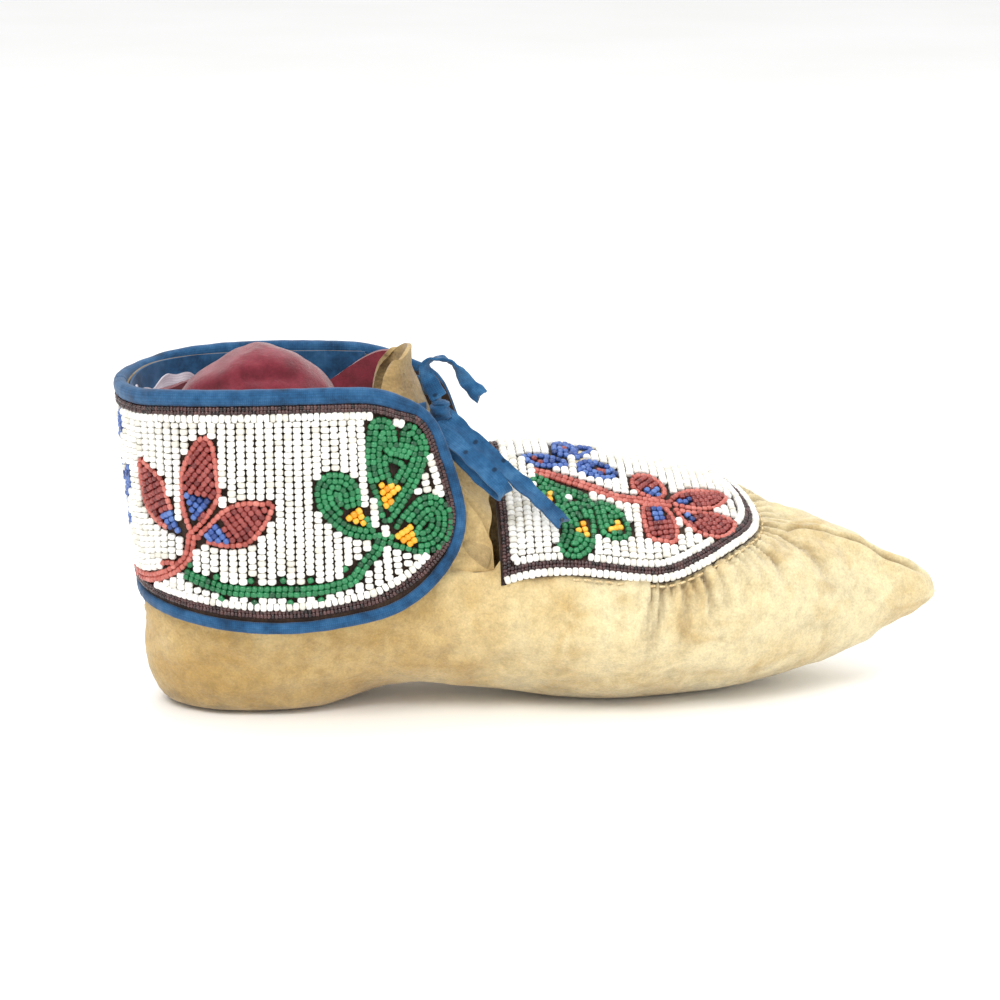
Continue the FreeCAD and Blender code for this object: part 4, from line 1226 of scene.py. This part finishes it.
def make_vamp_backing():
    half = vamp_edge[:, 1]
    last = vamp_edge[:, 0].argmax()
    low_x, low_v = vamp_edge[:last + 1, 0], half[:last + 1]
    high_x, high_v = vamp_edge[last:, 0][::-1], half[last:][::-1]
    start = vamp_low[0] - 0.2
    end = vamp_edge[last, 0]

    def place(u, v):
        x = start + (end - start) * np.sin(u * math.pi / 2)
        low = np.interp(x, low_x, low_v)
        high = np.interp(x, high_x, high_v)
        spots = np.stack([x, low + (high - low) * v], 1)
        middle, travel, out, side = instep.frames(spots, np.broadcast_to((1.0, 0.0), spots.shape))
        return middle + out * 0.35

    backing = shaped_grid("vamp_backing", 90, 90, place, (vamp_length, 2 * vamp_half))
    pick(backing)
    bpy.ops.object.mode_set(mode="EDIT")
    bpy.ops.mesh.select_all(action="SELECT")
    bpy.ops.mesh.remove_doubles(threshold=0.00002)
    bpy.ops.object.mode_set(mode="OBJECT")
    thicken(backing, 0.9)
    dress(backing, backing_and_gap_shade_cotton, "smoked_hide")
    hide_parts("vamp_backing")
    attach(backing, "moccasin")


make_vamp_backing()
SHADES = {
    "white": (white_glass, "white_beads", WHITE_BEAD, 1.15),
    "dark": (dark_glass, "dark_beads", BORDER_BEAD, 0.95),
    "coral": (coral_glass, "coral_beads", OUTLINE_BEAD, 1.0),
    "red": (red_glass, "red_beads", MOTIF_BEAD, 1.0),
    "blue": (blue_glass, "blue_beads", MOTIF_BEAD, 1.0),
    "green": (green_glass, "green_beads", MOTIF_BEAD, 1.05),
    "orange": (orange_glass, "orange_beads", MOTIF_BEAD, 1.1),
}


def sew_panel(work, prefix, surface, nodes, hold):
    """Sews a panel's beads colour by colour. nodes names the CAD nodes that each colour stands for."""
    for shade, rows in work.rows.items():
        material, slot, (diameter, length), rise = SHADES[shade]
        piece = sew_beads(prefix + "_" + shade + "_beads", surface, rows, diameter, length, rise, material,
                          slot)
        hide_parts(*nodes.get(shade, ()))
        hold(piece)


def ride_moccasin(piece):
    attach(piece, "moccasin")


sew_panel(vamp, "vamp", instep, {
    "white": ("vamp_white_beads", "vamp_edge_beads"), "dark": ("vamp_border_beads",),
    "coral": ("vamp_coral_stem",), "red": ("vamp_red_flower",), "blue": ("vamp_blue_flower",),
    "green": ("vamp_green_leaves",), "orange": ("vamp_orange_hearts",)}, ride_moccasin)

# ---------------------------------------------------------------------------------------------------------
# The cuff: u is how far round from the back of the heel, v is the height.
cuff_tree = surface_tree("heel_cuff_cloth", "lateral_flap_cloth", "medial_flap_cloth")
CUFF_LEVELS = (56.0, 84.0)
CUFF_FOOT, CUFF_HEAD = 28.0, 116.0


def wall_surface(tree, levels, side, stretch=0.0):
    """One half of a wall round the ankle, from where rays land on it at two heights, drawn on a little
    past its front. stretch carries the pattern's front that much further on."""
    middle = np.array(((node_box("heel_cuff_cloth")[0][0] + node_box("heel_cuff_cloth")[1][0]) / 2 + 20,
                       0.0, 0.0))
    rings = []
    for turn in np.radians(np.linspace(0, 150, 76)):
        way = np.array((-math.cos(turn), side * math.sin(turn), 0.0))
        pair = []
        for level in levels:
            pair.append(land(tree, middle + way * 110 + (0, 0, level), -way, 90))
        if pair[0] is None or pair[1] is None:
            break
        rings.append(pair)
    rings = np.array(rings)[:-1]
    last_step = rings[-1] - rings[-4]
    last_step /= np.linalg.norm(last_step, axis=1, keepdims=True)
    extra = [rings[-1] + last_step * run for run in np.arange(3, 25, 3)]
    back_step = (rings[1] - rings[0]) / np.linalg.norm(rings[1] - rings[0], axis=1, keepdims=True)
    before = [rings[0] - back_step * run for run in (6, 3)]
    rings = np.concatenate([before, rings, extra])
    waist = rings.mean(1)
    run = np.concatenate([[0.0], np.cumsum(np.linalg.norm(np.diff(waist, axis=0), axis=1))]) - 6.0
    marks = np.linspace(-4, 142, 147)
    heights = np.linspace(CUFF_FOOT, CUFF_HEAD, 23)
    walked = marks + stretch * np.clip((marks - 70) / 50, 0, 1) ** 2
    low = np.stack([np.interp(walked, run, rings[:, 0, axis]) for axis in range(3)], 1)
    high = np.stack([np.interp(walked, run, rings[:, 1, axis]) for axis in range(3)], 1)
    share = ((heights - levels[0]) / (levels[1] - levels[0]))[None, :, None]
    points = low[:, None] * (1 - share) + high[:, None] * share
    return Surface((marks[0], marks[-1]), (CUFF_FOOT, CUFF_HEAD), points, -side)


cuffs = {LATERAL: wall_surface(cuff_tree, CUFF_LEVELS, LATERAL),
         MEDIAL: wall_surface(cuff_tree, CUFF_LEVELS, MEDIAL, stretch=7.0)}


def from_side(points):
    """Points drawn in side view, as X and height, put on the cuff's pattern."""
    surface = cuffs[LATERAL]
    marks = np.linspace(0, 140, 281)
    placed = []
    for x, z in points:
        across = surface.at(np.stack([marks, np.full(len(marks), z)], 1))[:, 0]
        placed.append((np.interp(x, np.maximum.accumulate(across), marks), z))
    return np.array(placed)


CUFF_RIM = [(-130.5, 107.6), (-126, 108.2), (-118, 109.3), (-105, 110.2), (-85, 110.6), (-62, 110.4),
            (-53, 109.6)]
CUFF_FRONT = [(-46, 107.3), (-38.4, 102.9), (-33.4, 97.4), (-29.8, 88.8), (-26.2, 77), (-24.6, 67),
              (-26.8, 57.7), (-33, 49.6), (-41, 43.4),
              (-52, 38.6)]
CUFF_HEM = [(-70.2, 35.4), (-84.9, 34.7), (-99.5, 35.6), (-112, 37.2), (-121, 38.6), (-126, 39.6)]
rim_line = from_side(CUFF_RIM)
front_line = from_side(CUFF_FRONT)
hem_line = from_side(CUFF_HEM)
rim_line[0][0] = -1.5
hem_line = np.vstack([hem_line, [(-1.5, 40.0)]])
cuff_edge = smooth_line(np.vstack([rim_line, front_line, hem_line]), 1.0)
# The binding is widest along the rim and the hem.
rim_share = np.clip((cuff_edge[:, 1] - 103) / 4, 0, 1)
hem_share = np.clip((58 - cuff_edge[:, 1]) / 16, 0, 1)
cuff_edge[:, 1] -= 1.7 * hem_share
binding_width = 3.4 + 1.5 * rim_share + 1.7 * hem_share
bead_edge = beside(cuff_edge, -binding_width, 1.0)


def closed_to_heel(line):
    """The line closed along the back of the heel, where the two halves of the cuff meet."""
    start = line[line[:, 0] > -1.2]
    top = (-3.5, start[0][1])
    low = (-3.5, start[-1][1])
    return wound_left(resample(np.vstack([[top], start, [low]]), 0.8, closed=True))


bead_field = closed_to_heel(bead_edge)


def heel_limit(points):
    return points[:, 0] > 0.05


def trimmed(row):
    places, ahead = row
    keep = places[:, 0] > 0.2
    return places[keep], ahead[keep]


cuff_work = Beadwork()
HEEL_PETALS = [
    ([(-124.7, 86.3), (-125.1, 81.2), (-124.2, 73.7), (-122.2, 68.1), (-117.1, 64.7), (-111.9, 63.6),
      (-114, 69.1), (-115.7, 74.1), (-117.3, 79.9),
      (-120.2, 83.4)],
     [(-119.6, 69.9), (-115.2, 71.6), (-111.4, 63.4), (-117, 65.2)], 0.5),
    ([(-110.1, 64.6), (-112.4, 71.5), (-113, 77.5), (-112.8, 83.6), (-110.5, 89.9), (-106.7, 95.6),
      (-103.1, 95.4), (-101.4, 89.7), (-100.6, 81.5), (-100.3, 77), (-103.7, 70.8),
      (-107.6, 65.9)],
     [(-111.4, 77.6), (-103.0, 76.2), (-108.9, 66.4)], 0.9),
    ([(-108.3, 63.7), (-104.5, 68.5), (-100, 73.2), (-94.2, 75.8), (-88.4, 75.8), (-84.6, 75.6),
      (-84.4, 72.6), (-87.1, 67.4), (-91.6, 62.1), (-97.4, 60.7),
      (-103.2, 61.2)],
     [(-101.4, 70.3), (-97.8, 61.6), (-107.0, 62.8)], 2.2),
]
for points, base, turn in HEEL_PETALS:
    cuff_work.motif(from_side(points), "coral", "red", "straight", turn, [("blue", from_side(base))])
cuff_work.stem(from_side([(-109.6, 63.6), (-110.2, 59.6), (-111.4, 56.2), (-114.6, 52.6), (-119, 49.2),
                          (-123.6, 46.8), (-127.4, 45.6)]), "coral")
cuff_work.stem(from_side([(-115.6, 54.2), (-118.6, 53.4)]), "coral", rows=1)
FRONT_LEAF = [
    ([(-51.3, 68.3), (-53.4, 75.9), (-55.9, 83.4), (-56.1, 90.8), (-54.5, 99.6), (-50.8, 100.6),
      (-47.2, 98.3), (-45.8, 92), (-44.2, 97.8), (-40.5, 97.3), (-36.9, 92.4), (-36.6, 87.3), (-39.3, 80.2),
      (-43.9, 73.1),
      (-48.4, 67.7)],
     [(-52.6, 80.6), (-44.8, 79.7), (-50.2, 69.3)]),
    ([(-52.6, 63.3), (-56.5, 62.7), (-63.1, 64.7), (-68.2, 69.1), (-71.2, 73.7), (-71.8, 79.7), (-69.4, 83.5),
      (-66.5, 84.3), (-62.1, 83.5), (-58.2, 79.8), (-57.2, 73.8), (-54.6, 68.3)],
     [(-64.2, 69.7), (-58.0, 74.5), (-54.3, 65.1)]),
    ([(-49.6, 61.3), (-47.6, 66.2), (-44.6, 70.7), (-39.4, 75.3), (-34.1, 75.3), (-29.7, 71.2), (-28.9, 66.7),
      (-29.9, 61.7), (-33.6, 58.1), (-38.9, 57.1), (-44.1, 58.6)],
     [(-49.0, 64.3), (-42.2, 68.4), (-39.6, 59.8), (-44, 59.9)]),
]
for points, heart in FRONT_LEAF:
    cuff_work.motif(from_side(points), "green", "green", "nested", 0.6, [("orange", from_side(heart))])
cuff_work.stem(from_side([(-111.2, 51.2), (-105, 48.9), (-100.7, 47.6), (-94.9, 46.9), (-89, 46.8),
                          (-81, 46.8), (-72.9, 46.9), (-65.6, 48), (-60.2, 50.2), (-56.9, 54.8),
                          (-52.9, 59.2),
                          (-51.2, 63.4)]),
               "green")
cuff_work.spots(from_side([(-110.2, 54.4), (-102.4, 51.3), (-91.9, 50.4), (-82, 50.4), (-73.6, 50.2),
                           (-62.9, 53.6), (-100.9, 44.3), (-90.9, 43.3), (-80, 43.3),
                           (-70.4, 43.9)]), "green")
# A small blue flower opens at the back of the heel, half of it on each side of the join.
BACK_FLOWER = [
    [(0.2, 69), (3.2, 73), (4.6, 79), (3.4, 86), (0.2, 91)],
     [(4.5, 68.5), (8.5, 70), (13, 75), (14.2, 81), (10.2, 81.5), (6.2, 76)],
    [(3.4, 91.5), (6.6, 89), (10.6, 93.5), (11.8, 99), (7.6, 98.6)],
     [(2.2, 60.5), (6.5, 60), (10.4, 63.4), (8.6, 66.4), (3.6, 65.4)],
]
for points in BACK_FLOWER:
    cuff_work.motif(np.array(points), "blue", "blue", "nested")
for inset in (0.75, 1.95):
    cuff_work.add("dark", [trimmed(row_along(beside(bead_edge, -inset, 0.6), BORDER_STEP))])
inner_row = trimmed(row_along(beside(bead_edge, -3.75, 0.6), WHITE_STEP))
cuff_work.add("white", [cuff_work.clear_of_shapes(inner_row)])
cuff_work.ground(bead_field, 5.0, CUFF_WHITE_PITCH, WHITE_BEAD[1], math.pi / 2, heel_limit)

CUFF_NODES = {
    LATERAL: {"white": ("lateral_flap_white_beads",), "dark": ("lateral_flap_border_beads",),
              "coral": ("heel_cuff_coral_stems",), "red": ("heel_cuff_red_flowers",),
              "blue": ("heel_cuff_blue_petal_bases",),
              "green": ("lateral_flap_green_leaf", "lateral_flap_green_vine"),
              "orange": ("lateral_flap_orange_hearts",)},
    MEDIAL: {"white": ("medial_flap_white_beads", "heel_cuff_white_beads"),
             "dark": ("medial_flap_border_beads", "heel_cuff_border_beads"),
             "blue": ("heel_cuff_blue_flower",),
             "green": ("medial_flap_green_leaf", "medial_flap_green_vine", "heel_cuff_green_vines"),
             "orange": ("medial_flap_orange_hearts",)},
}
CUFF_CLOTH_NODES = {LATERAL: ("lateral_flap_cloth",), MEDIAL: ("medial_flap_cloth", "heel_cuff_cloth")}
CUFF_BINDING_NODES = {LATERAL: ("lateral_flap_binding", "rim_binding"),
                      MEDIAL: ("medial_flap_binding", "heel_cuff_binding")}
SIDE_NAMES = {LATERAL: "lateral", MEDIAL: "medial"}


def hold_cuff():
    """The cuff stays where it was made: each piece's transform is baked into its mesh."""
    def hold(piece):
        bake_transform(piece)
    return hold


def make_cuff_cloth(side):
    surface = cuffs[side]
    front = cuff_edge[:, 0].argmax()
    top_u, top_v = cuff_edge[:front + 1, 0], cuff_edge[:front + 1, 1]
    low_u, low_v = cuff_edge[front:, 0][::-1], cuff_edge[front:, 1][::-1]
    end = cuff_edge[front, 0] - 0.6

    def place(u, v):
        if side == MEDIAL:
            v = 1 - v
        round_to = end * np.sin(u * math.pi / 2)
        low = np.interp(round_to, low_u, low_v) + 0.8
        high = np.interp(round_to, top_u, top_v) - 0.8
        spots = np.stack([round_to, low + (high - low) * v], 1)
        middle, travel, out, way = surface.frames(spots, np.broadcast_to((1.0, 0.0), spots.shape))
        return middle + out * 0.05

    outline = closed_to_heel(cuff_edge)
    area = abs(np.sum(outline[:, 0] * np.roll(outline[:, 1], -1)
                      - outline[:, 1] * np.roll(outline[:, 0], -1))) / 2
    cloth = shaped_grid(SIDE_NAMES[side] + "_cuff_cloth", 110, 60, place, (end, 75))
    thicken(cloth, 1.0)
    dress(cloth, backing_and_gap_shade_cotton, "cuff_lining_cotton")
    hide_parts(*CUFF_CLOTH_NODES[side])
    hold_cuff()(cloth)


def make_cuff_binding(side):
    surface = cuffs[side]
    line = resample(cuff_edge[cuff_edge[:, 0] > -0.6], 0.8)
    rim = np.clip((line[:, 1] - 103) / 4, 0, 1)
    width = 3.5 + 1.5 * rim
    centre = beside_all(line, -width / 2)
    ahead = headings(centre)
    middle, travel, out, way = surface.frames(centre, ahead)
    count = len(line)
    share = np.arange(count)
    pucker = wobble(np.stack([share * 0.8, rim * 0, rim * 0], 1), 2.4, 0.5, 11 + side)
    path = middle + out * (0.35 - 0.75 * rim + 0.25 * pucker)[:, None]
    height = 1.15 + 0.95 * rim + 0.14 * pucker
    half = width / 2 + 0.1 + 0.16 * wobble(np.stack([share * 0.8, rim * 0, rim * 0], 1), 5.0, 1.0, 4 - side)
    strip = swept(SIDE_NAMES[side] + "_cuff_binding", path, way, out, half, height, ring=18, ends=0.4,
                  squareness=0.8)
    dress(strip, blue_cotton, "blue_cotton", smooth=70)
    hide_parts(*CUFF_BINDING_NODES[side])
    hold_cuff()(strip)


def beside_all(line, distance):
    """The line moved to its left point for point."""
    ahead = headings(line)
    return line + np.stack([-ahead[:, 1], ahead[:, 0]], 1) * np.reshape(distance, (-1, 1))


for side in (LATERAL, MEDIAL):
    make_cuff_cloth(side)
    make_cuff_binding(side)
    sew_panel(cuff_work, SIDE_NAMES[side] + "_cuff", cuffs[side], CUFF_NODES[side], hold_cuff())

# ---------------------------------------------------------------------------------------------------------
# Inside the cuff: the hide collar, a muslin lining at the heel, and red wool bunched round the ankle.
collar_tree = surface_tree("ankle_collar")
COLLAR_LEVELS = (58.0, 96.0)
collars = {side: wall_surface(collar_tree, COLLAR_LEVELS, side) for side in (LATERAL, MEDIAL)}

LINING_FOOT = 63


def ring_sheet(name, inset, low, high, front, columns, rows, ripple, ripple_size, shift):
    """A sheet that goes round inside the ankle from one front edge by way of the heel to the other.
    low, high and front are functions: the heights for a place round the ring, and the X of the front
    edge for a height."""
    marks = np.linspace(0, 140, 141)

    def place(u, v):
        turn = 2 * u - 1
        v = 1 - v
        points = np.zeros((len(u), 3))
        for side in (LATERAL, MEDIAL):
            mine = (turn < 0) if side == LATERAL else (turn >= 0)
            surface = collars[side]
            part = np.abs(turn[mine])
            bottom, top = low(turn[mine]), high(turn[mine])
            height = bottom + (top - bottom) * v[mine]
            ends = np.zeros(len(height))
            for level in np.unique(np.round(height)):
                across = surface.at(np.stack([marks, np.full(len(marks), level)], 1))[:, 0]
                same = np.round(height) == level
                ends[same] = np.interp(front(height[same]), np.maximum.accumulate(across), marks)
            spots = np.stack([part * ends, height], 1)
            middle, travel, out, way = surface.frames(spots, np.broadcast_to((1.0, 0.0), spots.shape))
            wave = (wobble(middle, ripple_size, ripple, shift)
                    + wobble(middle, ripple_size * 0.4, ripple * 0.35, shift))
            points[mine] = middle - out * (inset - wave)[:, None]
        return points

    return shaped_grid(name, columns, rows, place, (230, 50))


def steady(value):
    return lambda turn: np.full(len(turn), float(value))


def rim_height(turn):
    """The rim's height, a little lower at the back of the heel."""
    return 107.6 - 2.4 * np.exp(-(turn / 0.16) ** 2)


def collar_front(height):
    return np.interp(height, [50, 58, 66, 76, 88, 100, 108], [-15.5, -16.0, -19.5, -27, -34, -40, -54])


collar = ring_sheet("hide_collar", 0.0, steady(49.5), rim_height, collar_front, 200, 44, 0.35, 14, 2)
thicken(collar, 1.3)
inside = points_of(collar) / MM
# Painted shadow: the collar is darkened inside the cuff, from a little behind its front to the heel.
store(collar, "painted_shade", 0.75 * np.clip((-44 - inside[:, 0]) / 8, 0, 1))
dress(collar, tongue_hide, "tongue_suede")
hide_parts("ankle_collar")
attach(collar, "moccasin")

# The binding is turned well down inside the rim.
facing = ring_sheet("rim_facing", 1.6, steady(97.5), rim_height, lambda height: np.full(len(height), -52.0),
                    160, 12, 0.5, 9, 3)
thicken(facing, 0.8)
dress(facing, blue_cotton, "blue_cotton")
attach(facing, "moccasin")


def muslin_top(turn):
    return 101.5 + 1.6 * np.sin(turn * 11 + 1) + 0.7 * np.sin(turn * 27)


muslin = ring_sheet("muslin_at_heel", 3.4, steady(LINING_FOOT), muslin_top,
                    lambda height: -101.0 + 0.25 * (height - 100), 120, 40, 0.8, 7, 5)
thicken(muslin, 0.5, 0.0)
dress(muslin, muslin_cotton, "muslin")
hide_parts("muslin_lining")
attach(muslin, "moccasin")


def wool_top(turn):
    far = np.clip(turn, 0, 1)
    near = np.clip(-turn, 0, 1)
    return (99.5 + 9.8 * np.exp(-((far - 1.0) / 0.15) ** 2) - 4.5 * np.exp(-((far - 0.7) / 0.1) ** 2)
            + 2.5 * np.exp(-((near - 0.8) / 0.2) ** 2) + 0.7 * np.sin(turn * 23))


wool_wall = ring_sheet("wool_wall", 4.4, steady(LINING_FOOT), wool_top,
                       lambda height: np.full(len(height), -43.0), 150, 50, 1.7, 12, 8)
thicken(wool_wall, 2.0, 0.0)
dress(wool_wall, red_wool, "red_wool")
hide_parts("red_wool_lining")
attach(wool_wall, "moccasin")

WOOL_HEAP_MIDDLE = np.array((-88.5, 16.0, 95.5))
WOOL_HEAP_HALF = np.array((26.5, 15.5, 19.0))


def make_wool_fold():
    """The bunched end of the wool: a slack heap with soft creases, higher than the rim."""
    deselect()
    bpy.ops.mesh.primitive_uv_sphere_add(segments=96, ring_count=72, radius=1)
    fold = bpy.context.active_object
    fold.name = "wool_fold"
    ball = points_of(fold)
    box_shape = np.sign(ball) * np.abs(ball) ** np.array((0.92, 0.9, 0.86))
    # It is heaped: broad where it is stuffed in, and narrower at its top.
    box_shape[:, 0] = box_shape[:, 0] * (1 - 0.5 * np.clip(ball[:, 2], 0, 1)) + 0.05 * ball[:, 2]
    points = WOOL_HEAP_MIDDLE + box_shape * WOOL_HEAP_HALF
    away = ball
    points += away * (wobble(points, 20, 2.0, 1) + wobble(points, 9, 1.0, 4)
                      + wobble(points, 3.0, 0.2, 6))[:, None]
    for start, end, width, depth in [((-114, 6, 98), (-86, 3, 106), 2.6, 1.6),
                                     ((-84, 2, 108), (-70, 8, 100), 2.4, 1.4)]:
        points -= away * (depth * fold_line(points, start, end, width))[:, None]
    put_points(fold, points * MM)
    dress(fold, red_wool, "red_wool", smooth=180)
    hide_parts("red_wool_lining")
    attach(fold, "moccasin")


make_wool_fold()

# ---------------------------------------------------------------------------------------------------------
# The tongue: hide that stands up in front of the shin, arched across, with its edges curled.
# Each row is the arch's front, then how far back, down and out its two feet are from there.
TONGUE_ROWS = np.array([(-11.4, 76.0, 1.5, 26.0, 31.2), (-30.0, 95.0, 13.0, 12.0, 22.0),
                        (-36.5, 116.3, 4.5, 4.0, 9.5)])


def make_tongue():
    def place(u, v):
        angle = (2 * u - 1) * math.pi / 2
        v = 1 - v
        one, two, three = (1 - v) * (1 - 2 * v), 4 * v * (1 - v), v * (2 * v - 1)
        x, z, back, down, out = [one * TONGUE_ROWS[0, k] + two * TONGUE_ROWS[1, k] + three * TONGUE_ROWS[2, k]
                                 for k in range(5)]
        drop = 1 - np.cos(angle)
        points = np.stack([x + SHIFT_X - back * drop, out * np.sin(angle), z - down * drop], 1)
        points[:, 2] -= 1.6 * np.clip(v - 0.9, 0, 1) * 10 * np.abs(2 * u - 1) ** 2
        wave = wobble(points, 12, 1.3, 12) + wobble(points, 5, 0.5, 14)
        ridge = 0.9 * np.sin(u * 42 + 3 * v) * np.clip(1 - v * 1.6, 0, 1)
        points += np.stack([np.cos(angle), np.sin(angle), np.zeros(len(u))], 1) * (wave + ridge)[:, None]
        return points

    tongue = shaped_grid("hide_tongue", 90, 90, place)
    thicken(tongue, 1.4)
    points = points_of(tongue) / MM
    # Painted shade: the tongue is darker towards its bottom.
    store(tongue, "painted_shade", np.clip((72 - points[:, 2]) / 60, 0, 0.35))
    dress(tongue, tongue_hide, "tongue_suede")
    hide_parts("tongue")
    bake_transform(tongue)


make_tongue()

# ---------------------------------------------------------------------------------------------------------
# The knot, and the two ends of the lace that come round the tongue to it.
BAND_ROUTES = {
    "lace_lateral_band": [(-41, -33.5, 98.5), (-36, -27.0, 98.8), (-33.8, -21.5, 98.6), (-31.0, -16.0, 98.2)],
    "lace_medial_band": [(-41, 32.0, 97.5), (-36, 27.0, 98.3), (-30.2, 19, 98.9), (-26.9, 8, 99.4),
                         (-26.0, -4, 99.3), (-27.5, -13.0, 98.8)],
}
for name, route in BAND_ROUTES.items():
    path = smooth_line(np.array(route) + (SHIFT_X, 0, 0), 0.8)
    ahead = headings(path)
    upright = np.broadcast_to((0.0, 0.0, 1.0), path.shape)
    out = np.cross(ahead, upright)
    out /= np.linalg.norm(out, axis=1, keepdims=True)
    if out[:, 0].sum() < 0:
        out = -out
    ripple = 0.25 * np.sin(np.arange(len(path)) * 0.9)
    band = swept(name + "_ribbon", path + out * ripple[:, None], upright, out, 2.9, 0.5, ring=16, ends=0.5,
                 squareness=0.6)
    dress(band, lace_cotton, "blue_cotton")
    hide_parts(name)
    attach(band, "moccasin")


KNOT_HALF = np.array((3.2, 3.0, 4.0))


def make_knot():
    """The wrap of the bow: a short fat turn of folded cotton, creased level by its own pull."""
    low, high = node_box("lace_knot")
    middle = (low + high) / 2 + (1.0, -0.6, -0.8)
    deselect()
    bpy.ops.mesh.primitive_uv_sphere_add(segments=64, ring_count=48, radius=1)
    knot = bpy.context.active_object
    knot.name = "knotted_lace"
    ball = points_of(knot)
    points = np.sign(ball) * np.abs(ball) ** np.array((0.75, 0.8, 0.62)) * KNOT_HALF
    folds = (0.32 * np.cos(ball[:, 2] * 9.0 + ball[:, 0] * 1.3)
             + 0.18 * np.cos(ball[:, 2] * 21 - ball[:, 0] * 2))
    points += ball * (1, 1, 0) * (folds * np.clip(1 - ball[:, 2] ** 6, 0, 1))[:, None]
    points += ball * wobble(points, 2.5, 0.35, 20)[:, None]
    put_points(knot, (points + middle) * MM)
    dress(knot, lace_cotton, "blue_cotton", smooth=180)
    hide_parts("lace_knot")
    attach(knot, "moccasin")


make_knot()

# ---------------------------------------------------------------------------------------------------------
# Stitches: the bead's form drawn out long and thin.
side_rows = row_along(beside(vamp_edge, -1.3, 0.5), 3.4)
keep = side_rows[0][:, 0] > 8
gathering = sew_beads("gathering_stitches", instep, [(side_rows[0][keep], side_rows[1][keep])], 0.75, 2.3,
                      0.7, pale_sinew, "sinew_thread")
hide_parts("vamp_gathering_thread")
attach(gathering, "moccasin")
for side in (LATERAL, MEDIAL):
    marks = np.arange(2, 96, 3.6)
    level = np.stack([marks, np.full(len(marks), 52.4)], 1)
    stitches = sew_beads(SIDE_NAMES[side] + "_quarter_stitches", collars[side],
                         [(level, np.broadcast_to((0.94, 0.34), level.shape).copy())], 0.8, 2.6, 0.35,
                         pale_sinew, "sinew_thread")
    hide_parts("quarter_seam_stitches")
    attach(stitches, "moccasin")


def make_heel_seam():
    """Slanting stitches that draw the heel's two edges together."""
    low, high = node_box("heel_seam")
    bpy.context.view_layer.update()
    points = [vertex.co / MM for vertex in hide.data.vertices]
    faces = [list(face.vertices) for face in hide.data.polygons]
    tree = BVHTree.FromPolygons(points, faces)
    across = np.linspace(-5, 5, 6)
    heights = np.linspace(low[2] - 3, high[2] + 3, 24)
    grid = np.zeros((len(across), len(heights), 3))
    for i, y in enumerate(across):
        for j, z in enumerate(heights):
            spot = land(tree, (-160, y, z), (1, 0, 0), 60)
            grid[i, j] = (low[0], y, z) if spot is None else spot
    back = Surface((-5, 5), (heights[0], heights[-1]), grid, -1.0)
    marks = np.arange(low[2], high[2], 2.7)
    places = np.stack([np.zeros(len(marks)), marks], 1)
    seam = sew_beads("heel_stitches", back, [(places, np.broadcast_to((0.92, 0.39), places.shape).copy())],
                     0.8, 3.0, 0.15, pale_sinew, "sinew_thread")
    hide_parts("heel_seam")
    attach(seam, "moccasin")


make_heel_seam()
